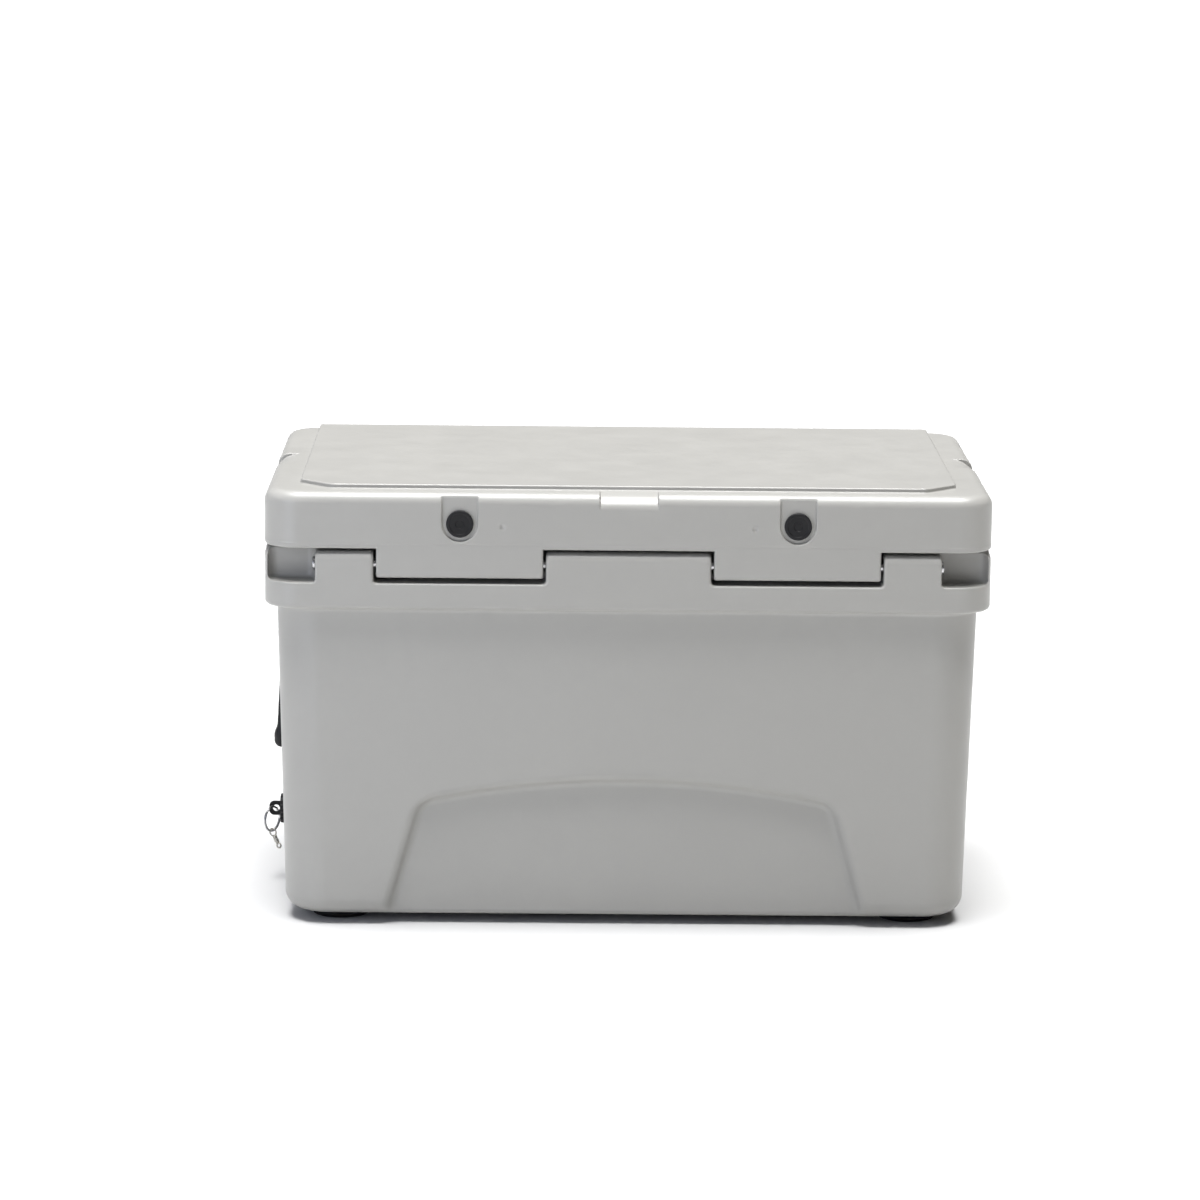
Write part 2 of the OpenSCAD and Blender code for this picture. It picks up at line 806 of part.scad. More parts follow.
module latch_anchor() {
    wall_face = half_d - rim_overhang;
    ear_in = latch_w / 2 + ear_gap;
    ear_half = anchor_h / 2 - latch_pin_over;
    color([0.12, 0.12, 0.13]) difference() {
        union() {
            block([tab_mid_x - anchor_half_w, wall_face - anchor_t, latch_z - anchor_h / 2],
                  [tab_mid_x + anchor_half_w, wall_face, latch_z + anchor_h / 2]);
            for (x = [tab_mid_x - ear_in - ear_t, tab_mid_x + ear_in]) {
                block([x, wall_face - over, latch_z - ear_half], [x + ear_t, latch_y, latch_z + ear_half]);
                rod_x(x, x + ear_t, latch_y, latch_z, 2 * min(ear_half, latch_eye_r));
            }
        }
        rod_x(0, half_l, latch_y, latch_z, latch_pin_d + 2 * pin_slack);
        anchor_screw_places() translate([0, 0, -screw_l])
            cylinder(d = screw_d + 2 * pin_slack, h = 2 * screw_l);
    }
}

module latch_screws() {
    color([0.75, 0.76, 0.77]) anchor_screw_places()
        pan_screw(screw_d, screw_l, screw_head_d, screw_head_h);
}

// ---- Handles, hanging down ----

module handle() {
    grip_r = grip_t / 2;
    grip_low = handle_z - handle_drop - grip_h / 2 + grip_r;
    grip_high = handle_z - handle_drop + grip_h / 2 - grip_r;
    reach = handle_w / 2 + arm_w / 2;
    grip_x = handle_x + grip_shift;
    color([0.11, 0.11, 0.12]) difference() {
        union() {
            for (y = [-handle_w / 2, handle_w / 2]) {
                rod_y(handle_x, y - arm_w / 2, y + arm_w / 2, handle_z, 2 * eye_r);
                block([handle_x - arm_t / 2, y - arm_w / 2, grip_low], [handle_x + arm_t / 2, y + arm_w / 2, handle_z]);
            }
            for (z = [grip_low, grip_high]) rod_y(grip_x, -reach, reach, z, grip_t);
            block([grip_x - grip_r, -reach, grip_low], [grip_x + grip_r, reach, grip_high]);
        }
        rod_y(handle_x, -half_d, half_d, handle_z, handle_pin_d + 2 * run_slack);
    }
}

// Faces that carry a handle's pins, on both sides of each arm
module handle_bracket() {
    face = wall_x(handle_z) - bracket_sink;
    color([0.11, 0.11, 0.12]) difference() {
        union() {
            block([face, -bracket_half_w, handle_z - bracket_h / 2],
                  [face + bracket_t, bracket_half_w, handle_z + bracket_h / 2]);
            for (side = [-1, 1], ear = [-1, 1]) {
                y = side * handle_w / 2 + ear * (arm_w / 2 + ear_gap + ear_t / 2);
                rod_y(handle_x, y - ear_t / 2, y + ear_t / 2, handle_z, 2 * eye_r);
                block([face, y - ear_t / 2, handle_z - eye_r], [handle_x, y + ear_t / 2, handle_z + eye_r]);
            }
        }
        rod_y(handle_x, -half_d, half_d, handle_z, handle_pin_d + 2 * pin_slack);
        bracket_screw_places() translate([0, 0, -screw_l])
            cylinder(d = screw_d + 2 * pin_slack, h = 2 * screw_l);
    }
}

module handle_pins() {
    reach = arm_w / 2 + ear_gap + ear_t;
    color([0.75, 0.76, 0.77]) for (y = [-handle_w / 2, handle_w / 2]) {
        rod_y(handle_x, y - reach, y + reach, handle_z, handle_pin_d);
    }
}

module handle_screws() {
    color([0.75, 0.76, 0.77]) for (side = [0, 1]) mirror([side, 0, 0]) bracket_screw_places()
        pan_screw(screw_d, screw_l, screw_head_d, screw_head_h);
}

// ---- Drain on the left end ----

module drain_fitting() {
    inner_end = liner_x(drain_z) - tube_inside;
    color([0.11, 0.11, 0.12]) difference() {
        union() {
            rod_x(-flange_out_x, -flange_in_x, 0, drain_z, flange_d);
            rod_x(-flange_in_x - eps, -inner_end, 0, drain_z, tube_d);
        }
        rod_x(-half_l, 0, 0, drain_z, drain_bore);
    }
}

module drain_nut() {
    nut_x = liner_x(drain_z) - pin_slack;
    color([0.11, 0.11, 0.12]) difference() {
        translate([-nut_x, 0, drain_z]) rotate([0, 90, 0]) cylinder(d = nut_d, h = nut_t, $fn = 6);
        rod_x(-half_l, 0, 0, drain_z, tube_d + 2 * pin_slack);
    }
}

module drain_washer() {
    color([0.25, 0.25, 0.26]) difference() {
        rod_x(-flange_in_x + eps / 2, -drain_seat_x - eps / 2, 0, drain_z, flange_d);
        rod_x(-half_l, 0, 0, drain_z, tube_d + 2 * pin_slack);
    }
}

module plug_seal() {
    color([0.25, 0.25, 0.26]) difference() {
        rod_x(-seal_in_x - seal_t, -seal_in_x, 0, drain_z, plug_head_d - 2 * plug_grip_d);
        rod_x(-half_l - seal_t, 0, 0, drain_z, drain_bore + 2 * pin_slack);
    }
}

module drain_plug() {
    shank_end = plug_under_x - plug_shank_l;
    color([0.11, 0.11, 0.12]) difference() {
        union() {
            rod_x(-plug_face_x, -plug_under_x, 0, drain_z, plug_head_d);
            rod_x(-plug_under_x - eps, -shank_end, 0, drain_z, drain_bore - 2 * plug_slack);
            block([-plug_face_x - tab_l, -tab_t / 2, drain_z - tab_h / 2],
                  [-plug_face_x + eps, tab_t / 2, drain_z + tab_h / 2]);
        }
        for (i = [0 : plug_grips - 1]) {
            rotate_about_drain(i * 360 / plug_grips)
                rod_x(-plug_face_x - over, -plug_under_x + over, plug_head_d / 2, drain_z, plug_grip_d);
        }
        rod_y(-tab_hole_x, -tab_t, tab_t, drain_z, 2 * tab_hole_r);
    }
}

module rotate_about_drain(a) {
    translate([0, 0, drain_z]) rotate([a, 0, 0]) translate([0, 0, -drain_z]) children();
}

// Round ring standing in the YZ plane about its own middle
module wire_ring(r, wire) {
    rotate([0, 90, 0]) rotate_extrude() translate([r, 0]) circle(d = wire, $fn = 16);
}

// Flat ring with straight walls, standing in the YZ plane about its own middle
module flat_ring(r, wire) {
    rotate([0, 90, 0]) difference() {
        cylinder(r = r + wire / 2, h = wire, center = true);
        cylinder(r = r - wire / 2, h = 2 * wire, center = true);
    }
}

// Moves its children to the middle of the split ring, with the ring's plane as their YZ plane
module at_ring(z) {
    translate([-tab_hole_x, 0, z]) rotate([0, 0, -ring_turn]) translate([0, -ring_out, 0]) children();
}

module plug_ring() {
    color([0.75, 0.76, 0.77]) at_ring(ring_z) wire_ring(ring_r, ring_wire);
}

// Swivel on the low point of the ring: an eye, a barrel and a loop that lean in toward the wall
module ring_swivel() {
    eye_mid_r = (swivel_eye_d - swivel_wire) / 2;
    loop_mid_r = (swivel_loop_d - swivel_wire) / 2;
    drop = eye_mid_r - ring_wire / 2 - swivel_wire / 2 - link_gap;
    barrel_low = -eye_mid_r - swivel_barrel_l;
    color([0.70, 0.68, 0.60]) at_ring(ring_low_z) rotate([0, -swivel_lean, 0]) translate([0, 0, -drop]) {
        rotate([0, 0, 90]) flat_ring(eye_mid_r, swivel_wire);
        translate([0, 0, barrel_low]) cylinder(d = swivel_barrel_d, h = swivel_barrel_l);
        translate([0, 0, barrel_low - loop_mid_r + eps]) rotate([0, 0, 90]) wire_ring(loop_mid_r, swivel_wire);
    }
}

// Hanging with the lean that it was left at
module left_handle() {
    translate([-handle_x, 0, handle_z]) rotate([0, left_handle_lean, 0])
        translate([handle_x, 0, -handle_z]) mirror([1, 0, 0]) handle();
}

// Moves its children so that the origin is under the middle of the whole box
module in_frame() {
    translate([middle_x, middle_y, 0]) children();
}

in_frame() body_shell();
in_frame() body_foam();
in_frame() base_fill_caps();
in_frame() foot_at(-1, -1);  // foot_back_left
in_frame() foot_at(1, -1);  // foot_back_right
in_frame() foot_at(-1, 1);  // foot_front_left
in_frame() foot_at(1, 1);  // foot_front_right
in_frame() foot_screws();
in_frame() mirror([1, 0, 0]) hinge_pin();  // hinge_pin_left
in_frame() hinge_pin();  // hinge_pin_right
in_frame() lid_shell();
in_frame() lid_foam();
in_frame() lid_gasket();
in_frame() lid_fill_cap(-1);  // fill_cap_left
in_frame() lid_fill_cap(1);  // fill_cap_right
in_frame() mirror([1, 0, 0]) latch();  // latch_left
in_frame() latch();  // latch_right
in_frame() mirror([1, 0, 0]) latch_pin();  // latch_pin_left
in_frame() latch_pin();  // latch_pin_right
in_frame() mirror([1, 0, 0]) latch_anchor();  // latch_anchor_left
in_frame() latch_anchor();  // latch_anchor_right
in_frame() latch_screws();
in_frame() left_handle();  // handle_left
in_frame() handle();  // handle_right
in_frame() mirror([1, 0, 0]) handle_bracket();  // handle_bracket_left
in_frame() handle_bracket();  // handle_bracket_right
in_frame() mirror([1, 0, 0]) handle_pins();  // handle_pins_left
in_frame() handle_pins();  // handle_pins_right
in_frame() handle_screws();
in_frame() drain_fitting();
in_frame() drain_nut();
in_frame() drain_washer();
in_frame() drain_plug();
in_frame() plug_seal();
in_frame() plug_ring();
in_frame() ring_swivel();
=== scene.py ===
"""Looks of the hard cooler: smooth moulded skins, rubber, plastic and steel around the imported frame.

Shapes are signed distance fields in millimetres, negative inside. mould() turns a field into a mesh
of quads whose points and normals lie on the field's own surface.
"""
import json
import math

import bmesh
import bpy
import numpy as np
from mathutils import Matrix, Vector


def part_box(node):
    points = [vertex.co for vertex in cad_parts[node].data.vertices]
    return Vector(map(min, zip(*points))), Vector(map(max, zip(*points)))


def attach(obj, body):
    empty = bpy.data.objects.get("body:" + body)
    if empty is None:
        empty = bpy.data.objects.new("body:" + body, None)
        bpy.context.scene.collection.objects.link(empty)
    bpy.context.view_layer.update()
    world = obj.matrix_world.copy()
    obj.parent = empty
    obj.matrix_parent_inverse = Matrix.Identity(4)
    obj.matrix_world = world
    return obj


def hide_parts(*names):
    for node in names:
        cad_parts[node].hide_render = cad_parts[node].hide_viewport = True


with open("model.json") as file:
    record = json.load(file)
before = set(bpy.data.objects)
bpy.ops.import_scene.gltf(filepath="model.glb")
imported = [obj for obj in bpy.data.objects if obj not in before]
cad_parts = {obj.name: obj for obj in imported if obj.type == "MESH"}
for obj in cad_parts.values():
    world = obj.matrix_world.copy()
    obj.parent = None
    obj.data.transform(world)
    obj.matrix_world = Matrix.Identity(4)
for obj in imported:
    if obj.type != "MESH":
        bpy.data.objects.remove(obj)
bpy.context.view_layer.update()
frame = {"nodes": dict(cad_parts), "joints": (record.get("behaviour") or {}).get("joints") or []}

MM = 0.001
JOINTS = {j["name"]: j for j in frame["joints"]}

lid_low, lid_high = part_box("lid_shell")
MIDDLE = np.array(((lid_low.x + lid_high.x) / 2, (lid_low.y + lid_high.y) / 2, 0)) / MM


def box_mm(node):
    """Lowest and highest corner of a CAD node, in millimetres from the cooler's own middle."""
    low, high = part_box(node)
    return np.array(low) / MM - MIDDLE, np.array(high) / MM - MIDDLE


def joint_mm(name):
    return np.array(JOINTS[name]["pos_m"]) / MM - MIDDLE


# ---- Sizes: from the frame where it has them ----

_, LID_HIGH_CORNER = box_mm("lid_shell")
BODY_LOW_CORNER, BODY_HIGH_CORNER = box_mm("body_shell")
HALF_L = LID_HIGH_CORNER[0]
HALF_D = LID_HIGH_CORNER[1]
PANEL_TOP = LID_HIGH_CORNER[2]
RIM_TOP = BODY_HIGH_CORNER[2]
BASE = BODY_LOW_CORNER[2]
_, AXIS_Y, AXIS_Z = joint_mm("lid_hinge")

PANEL_H = 4.0
PANEL_SIDE = 31.0
PANEL_NEAR = 24.0
PANEL_FAR = 12.0
PANEL_NIP = 28.0
LID_TOP = PANEL_TOP - PANEL_H
LID_LOW = AXIS_Z + 15.0
RIM_H = 52.0
RIM_LOW = RIM_TOP - RIM_H
OVERHANG = 10.0
TAPER = 7.0
WALL_R = 40.0
RIM_R = 32.0
BASE_R = 16.0
LID_EDGE_R = 11.0

TAB_BACK = AXIS_Y + HALF_D
HINGE_FLOOR = AXIS_Z - TAB_BACK - 4.5
HINGE_WALL = AXIS_Y + TAB_BACK + 6.0
POCKET_OUT = HALF_L - 3.5
POCKET_IN = POCKET_OUT - 43.0
SLOT_OUT = POCKET_IN - 52.0
SLOT_IN = 74.0
TAB_GAP = 2.5
TAB_MID = (SLOT_OUT + SLOT_IN) / 2

OPENING_WALL = 51.0
LINER_TAPER = 6.0
FLOOR = BASE + 50.0
LINER_R = 32.0
OPENING_X = HALF_L - OPENING_WALL
OPENING_Y = HALF_D - OPENING_WALL
PLUG_CLEAR = 3.0
PLUG_H = 10.0

ARCH_DEPTH = 9.0
ARCH_CROWN = BASE + 131.0
ARCH_SHOULDER = BASE + 98.0
ARCH_SHOULDER_R = 14.0
ARCH_BEVEL = 7.0
ARCH_HALF = HALF_L - OVERHANG - TAPER - 89.0
ARCH_SHOULDER_X = ARCH_HALF - 42.0

_, LATCH_Y, LATCH_Z = joint_mm("latch_right_swing")
_, _, DRAIN_Z = joint_mm("plug_turn")
RING_HOLE_X = joint_mm("ring_swing")[0]
BRACKET_LOW, BRACKET_HIGH = box_mm("handle_bracket_right")
HANDLE_X, _, HANDLE_Z = joint_mm("handle_right_swing")
HANDLE_HALF = 58.0
GRIP_X = HANDLE_X - 0.5
GRIP_LOW = box_mm("handle_right")[0][2]
GRIP_Z = GRIP_LOW + 9.5
CAP_LOW, CAP_HIGH = box_mm("fill_cap_right")
CAP_Z = (CAP_LOW[2] + CAP_HIGH[2]) / 2
CAP_POCKET = 3.0
BASE_CAP_X = box_mm("base_fill_caps")[1][0] - 12.25
FOOT_LOW, FOOT_HIGH = box_mm("foot_front_right")
FOOT_X = (FOOT_LOW[0] + FOOT_HIGH[0]) / 2
FOOT_Y = (FOOT_LOW[1] + FOOT_HIGH[1]) / 2
FOOT_R = (FOOT_HIGH[0] - FOOT_LOW[0]) / 2
DRAIN_SEAT = -box_mm("drain_washer")[1][0]
NOTCH_HALF = 26.0
NOTCH_DROP = 9.0
NOTCH_DEPTH = 14.0
CAP_RECESS_R = 13.0
LUG_R = 6.0
PIN_R = 2.5
PIN_HOLE_R = 2.6
HINGE_PIN_R = 4.0
NUT_R = 16.0
TUBE_R = 11.0
TUBE_BORE_R = 11.1
FLANGE_R = 22.0
SCREW = (2.0, 12, 4.0, 2.4)
GASKET_OUT = 5.0
GASKET_W = 10.0
LATCH_PLATE_HALF = 27.5


# ---- Distance fields ----

def meet(a, b, r):
    """Where both are, with an edge of radius r."""
    return np.minimum(-r, np.maximum(a, b)) + np.hypot(np.maximum(r + a, 0), np.maximum(r + b, 0))


def join(a, b, r):
    """Where either is, with an inner corner of radius r."""
    return np.maximum(r, np.minimum(a, b)) - np.hypot(np.maximum(r - a, 0), np.maximum(r - b, 0))


def cut(a, b, r):
    """a without b, with a mouth of radius r."""
    return meet(a, -b, r)


def plan(x, y, half_x, half_y, r):
    """Rectangle with round corners, about the origin."""
    qx = np.abs(x) - half_x + r
    qy = np.abs(y) - half_y + r
    return np.hypot(np.maximum(qx, 0), np.maximum(qy, 0)) + np.minimum(np.maximum(qx, qy), 0) - r


def span(v, low, high):
    return np.maximum(low - v, v - high)


def brick(x, y, z, low, high, r):
    """Box between two corners with every edge of radius r."""
    c = (np.array(low, float) + high) / 2
    h = (np.array(high, float) - low) / 2
    q = [np.abs(v - m) - s + r for v, m, s in zip((x, y, z), c, h)]
    outer = np.sqrt(sum(np.maximum(v, 0) ** 2 for v in q))
    return outer + np.minimum(np.maximum(np.maximum(q[0], q[1]), q[2]), 0) - r


def disc(a, b, c, radius, low, high, r):
    """Disc of that radius in the a, b plane, from low to high along c."""
    return meet(np.hypot(a, b) - radius, span(c, low, high), r)


def wall_inset(z):
    return OVERHANG + TAPER * (RIM_LOW - z) / (RIM_LOW - BASE)


def liner_inset(z):
    return OPENING_WALL + LINER_TAPER * (RIM_TOP - z) / (RIM_TOP - FLOOR)


def arch(x, y, z):
    """The arched recess in the back and front, with its sloped edge."""
    depth = np.abs(y) - (HALF_D - wall_inset(z))
    rise = ARCH_CROWN - ARCH_SHOULDER - ARCH_SHOULDER_R
    r = (ARCH_SHOULDER_X ** 2 + rise ** 2) / (2 * rise)
    lean_h = ARCH_SHOULDER - BASE
    lean = math.hypot(42.0 - ARCH_SHOULDER_R, lean_h)
    side = ((np.abs(x) - ARCH_HALF) * lean_h + (z - BASE) * (42.0 - ARCH_SHOULDER_R)) / lean
    crown = np.hypot(x, z - ARCH_CROWN + r) - r
    outline = meet(side, crown, ARCH_SHOULDER_R)
    sloped = (outline - depth / ARCH_DEPTH * ARCH_BEVEL) * ARCH_DEPTH / math.hypot(ARCH_DEPTH, ARCH_BEVEL)
    return meet(sloped, -depth - ARCH_DEPTH, 3.0)


def body_field(x, y, z):
    ax = np.abs(x)
    inset = wall_inset(z)
    walls = meet(plan(x, y, HALF_L - inset, HALF_D - inset, WALL_R), BASE - z, BASE_R)
    walls = np.maximum(walls, z - RIM_LOW - 20)
    back_edge = 3.0 + 4.5 * np.clip((-y - HALF_D + 55) / 30, 0, 1)
    rim = meet(plan(x, y, HALF_L, HALF_D, RIM_R), z - RIM_TOP, back_edge)
    rim = meet(rim, RIM_LOW - z, 4.0)
    d = join(walls, rim, 5.0)
    d = cut(d, arch(x, y, z), 3.5)
    slot = meet(span(ax, SLOT_IN, SLOT_OUT), y - HINGE_WALL, 4.0)
    d = cut(d, meet(slot, HINGE_FLOOR - z, 3.0), 2.8)
    pocket = meet(span(ax, POCKET_IN, POCKET_OUT), y - HINGE_WALL, 9.0)
    d = cut(d, meet(pocket, HINGE_FLOOR - z, 3.0), 1.6)
    slot_half = LATCH_PLATE_HALF + 1.0
    latch_slot = meet(span(ax, TAB_MID - slot_half, TAB_MID + slot_half), HALF_D - OVERHANG - y, 2.0)
    d = cut(d, np.maximum(latch_slot, RIM_LOW - 5 - z), 2.5)
    plate = brick(ax, y, z, (TAB_MID - LATCH_PLATE_HALF - 0.3, HALF_D - OVERHANG - 2.8, LATCH_Z - 11.3),
                  (TAB_MID + LATCH_PLATE_HALF + 0.3, HALF_D, LATCH_Z + 11.3), 1.0)
    d = cut(d, plate, 0.8)
    well_low = BRACKET_LOW - (0.2, 0.2, 0) - (0, 0, BRACKET_LOW[2] - GRIP_LOW + 12)
    well = brick(ax, y, z, well_low, BRACKET_HIGH + (60, 0.2, 0.2), 2.5)
    d = cut(d, well, 3.0)
    inner = liner_inset(z)
    room = meet(plan(x, y, HALF_L - inner, HALF_D - inner, LINER_R), FLOOR - z, BASE_R)
    d = cut(d, room, 4.0)
    trough = brick(x, y, z, (-HALF_L + 57, -22, DRAIN_Z - 16.5), (-HALF_L + 127, 22, FLOOR + 30), 5.0)
    d = cut(d, trough, 3.0)
    foot = disc(ax - FOOT_X, np.abs(y) - FOOT_Y, z, FOOT_R + 0.3, -BASE, BASE + 2, 0.2)
    d = cut(d, foot, 0.6)
    base_cap = disc(ax - BASE_CAP_X, y, z, CAP_RECESS_R, -BASE, BASE + 3, 0.2)
    d = cut(d, base_cap, 1.0)
    from_drain = np.hypot(y, z - DRAIN_Z)
    d = cut(d, np.maximum(from_drain - FLANGE_R - 1, x + DRAIN_SEAT), 1.0)
    return cut(d, np.maximum(from_drain - TUBE_BORE_R, x + HALF_L - 120), 0.5)


def tab_field(x, y, z):
    """The two hinge tabs, round their axis."""
    v = y - AXIS_Y
    w = z - AXIS_Z
    outline = meet(meet(-TAB_BACK - v, v - TAB_BACK, 1.0), -TAB_BACK - w, 4.0)
    ends = span(np.abs(x), SLOT_IN + TAB_GAP, SLOT_OUT - TAB_GAP)
    d = np.maximum(meet(outline, ends, 2.2), z - LID_LOW - 8)
    return cut(d, np.hypot(v, w) - 4.6, 0.4)


def lid_field(x, y, z):
    ax = np.abs(x)
    ay = np.abs(y)
    d = meet(plan(x, y, HALF_L, HALF_D, RIM_R), z - LID_TOP, LID_EDGE_R)
    d = d - 0.25 * np.exp(-((z - LID_LOW - 4.5) / 0.9) ** 2)
    d = meet(d, LID_LOW - z, 2.5)
    d = np.minimum(d, tab_field(x, y, z))
    for along, across, half in ((ax, ay, HALF_D), (ay, ax, HALF_L)):
        slope = (z - LID_TOP + NOTCH_DROP - NOTCH_DROP / NOTCH_DEPTH * (half - across))
        slope = slope * NOTCH_DEPTH / math.hypot(NOTCH_DROP, NOTCH_DEPTH)
        d = np.minimum(meet(d, slope, 5.0), meet(d, NOTCH_HALF - along, 1.0))
    px = ax - (HALF_L - PANEL_SIDE)
    py = span(y, PANEL_NEAR - HALF_D, HALF_D - PANEL_FAR)
    nip = (px + PANEL_NEAR - HALF_D - y + PANEL_NIP) / math.sqrt(2)
    panel = meet(meet(px, py, 3.0), nip, 3.0)
    panel = np.maximum(meet(panel, z - PANEL_TOP, 1.5), LID_TOP - 6 - z)
    d = join(d, panel, 1.2)
    plug = plan(x, y, OPENING_X - PLUG_CLEAR, OPENING_Y - PLUG_CLEAR, LINER_R - PLUG_CLEAR)
    plug = np.maximum(meet(plug, LID_LOW - PLUG_H - z, 4.0), z - LID_LOW - 5)
    dish = meet(plan(x, y, OPENING_X - 28, OPENING_Y - 28, 18), z - LID_LOW + PLUG_H - 4, 2.5)
    d = join(d, cut(plug, dish, 2.5), 1.5)
    middle = GASKET_OUT + GASKET_W / 2
    groove = np.abs(plan(x, y, OPENING_X + middle, OPENING_Y + middle, LINER_R + middle)) - GASKET_W / 2 - 0.2
    d = cut(d, np.maximum(groove, z - LID_LOW - 2), 0.5)
    u = np.hypot(ax - TAB_MID, np.minimum(z - CAP_Z, 0)) - 16.0
    d = cut(d, meet(u, y + HALF_D - CAP_POCKET, 0.8), 1.2)
    dent = np.sqrt((ax - 113) ** 2 + (y + HALF_D + 2.2) ** 2 + (z - LID_LOW - 20.5) ** 2) - 3.4
    d = cut(d, dent, 0.7)
    face = HALF_D - OVERHANG - y
    neck = np.maximum(span(ax, TAB_MID - 14, TAB_MID + 14), face)
    head_low = LID_LOW + 12
    head = meet(span(ax, TAB_MID - 26, TAB_MID + 26), span(z, head_low, head_low + 19), 3.0)
    head = meet(head, face, 1.5)
    d = cut(d, np.maximum(neck, z - head_low - 10), 1.5)
    return cut(d, head, 2.0)


def mirrored(field):
    """The same shape on the left end."""
    return lambda x, y, z: field(-x, y, z)


def latch_field(x, y, z):
    """T-shaped rubber latch hanging from its pin, with finger ridges."""
    u, v, w = x - TAB_MID, y - LATCH_Y, z - LATCH_Z
    d = disc(v, w, u, LUG_R, -13.0, 13.0, 1.2)
    d = join(d, brick(u, v, w, (-13, -4.4, -66), (13, 4.4, 0), 1.8), 3.0)
    head = brick(u, v, w, (-25, -6, -78.5), (25, 6, -61.5), 4.8)
    d = join(d, np.maximum(head, w + 61.5), 2.5)
    ridge = np.hypot(v - 5.4, (w + 37) - 7 * np.round(np.clip((w + 37) / 7, -3, 3))) - 1.9
    d = cut(d, np.maximum(ridge, np.abs(u) - 9.5), 0.7)
    grip = np.hypot(v - 7.2, (w + 70) - 4 * np.round(np.clip((w + 70) / 4, -1, 1))) - 1.9
    d = cut(d, np.maximum(grip, np.abs(u) - 19), 0.5)
    return cut(d, np.hypot(v, w) - PIN_HOLE_R, 0.4)


def anchor_field(x, y, z):
    """Plate and two ears that hold a latch's pin."""
    u, v, w = x - TAB_MID, y - (HALF_D - OVERHANG), z - LATCH_Z
    plate = brick(u, v, w, (-27.3, -2.5, -10.8), (27.3, 0, 10.8), 1.0)
    out = LATCH_Y - HALF_D + OVERHANG
    au = np.abs(u)
    lug = disc(v - out, w, au, LUG_R, 13.5, 17.5, 0.9)
    arm = brick(au, v, w, (13.5, -2, -6), (17.5, out, 6), 0.9)
    d = join(plate, join(lug, arm, 0.5), 1.2)
    return cut(d, np.hypot(v - out, w) - PIN_R, 0.4)


HANDLE_LEAN = math.radians(2.7)


def leaning(field):
    """The left handle's shape, leaning out by as much as the CAD's."""
    def turned_field(x, y, z):
        u, w = -x - HANDLE_X, z - HANDLE_Z
        c, s = math.cos(HANDLE_LEAN), math.sin(HANDLE_LEAN)
        return field(HANDLE_X + u * c + w * s, y, HANDLE_Z + w * c - u * s)
    return turned_field


def handle_field(x, y, z):
    """Bail handle hanging down, with a ribbed grip."""
    u, v, w = x - HANDLE_X, np.abs(y) - HANDLE_HALF, z - HANDLE_Z
    d = disc(u, w, v, LUG_R, -6.0, 6.0, 1.2)
    arm = brick(u, v, w, (-4.9, -5.9, GRIP_Z - HANDLE_Z), (4.9, 5.9, 0), 2.4)
    flute = np.hypot(u - 7.4, v) - 4.2
    flute = np.maximum(flute, span(w, GRIP_Z - HANDLE_Z + 22, -16))
    d = join(d, cut(arm, flute, 1.0), 1.5)
    rib = 0.35 * np.cos(y * (2 * math.pi / 5.5)) * np.clip((44 - np.abs(y)) / 2, 0, 1)
    grip = brick(x - GRIP_X, y, z - GRIP_Z, (-7.35, -64, -9.1), (7.35, 64, 9.1), 6.4) + rib
    grip = grip - 0.38 * np.clip((np.abs(y) - 42) / 4, 0, 1)
    d = join(d, grip, 4.0)
    return cut(d, np.hypot(u, w) - PIN_HOLE_R, 0.4)


def bracket_field(x, y, z):
    """Plate let into the end wall, with two ears for each arm."""
    w = z - HANDLE_Z
    half_y = BRACKET_HIGH[1] - 0.1
    plate = brick(x, y, w, (BRACKET_LOW[0], -half_y, -17.9), (BRACKET_LOW[0] + 3, half_y, 17.9), 1.0)
    step = brick(x, y, w, (BRACKET_LOW[0], -42, -14), (BRACKET_LOW[0] + 4.2, 42, 14), 1.0)
    holes = np.hypot(np.abs(y) - SCREW_Y, np.abs(w) - SCREW_UP) - 4.6
    step = cut(step, np.maximum(holes, BRACKET_LOW[0] + 3 - x), 0.4)
    from_arm = np.abs(np.abs(np.abs(y) - HANDLE_HALF) - 8.5)
    lug = meet(np.hypot(x - HANDLE_X, w) - LUG_R, from_arm - 2.0, 0.9)
    behind_axis = span(x, BRACKET_LOW[0] + 0.5, HANDLE_X)
    back = meet(np.maximum(np.abs(w) - LUG_R, behind_axis), from_arm - 2.0, 0.9)
    d = join(join(plate, step, 1.0), join(lug, back, 0.4), 1.5)
    return cut(d, np.hypot(x - HANDLE_X, w) - PIN_R, 0.4)


_, SCREWS_HIGH = box_mm("handle_screws")
SCREW_Y = SCREWS_HIGH[1] - 4.0
SCREW_UP = SCREWS_HIGH[2] - 4.0 - HANDLE_Z
PLUG_LOW, PLUG_HIGH = box_mm("drain_plug")
PLUG_FLUTES = 12
THREAD_PITCH = 4.0


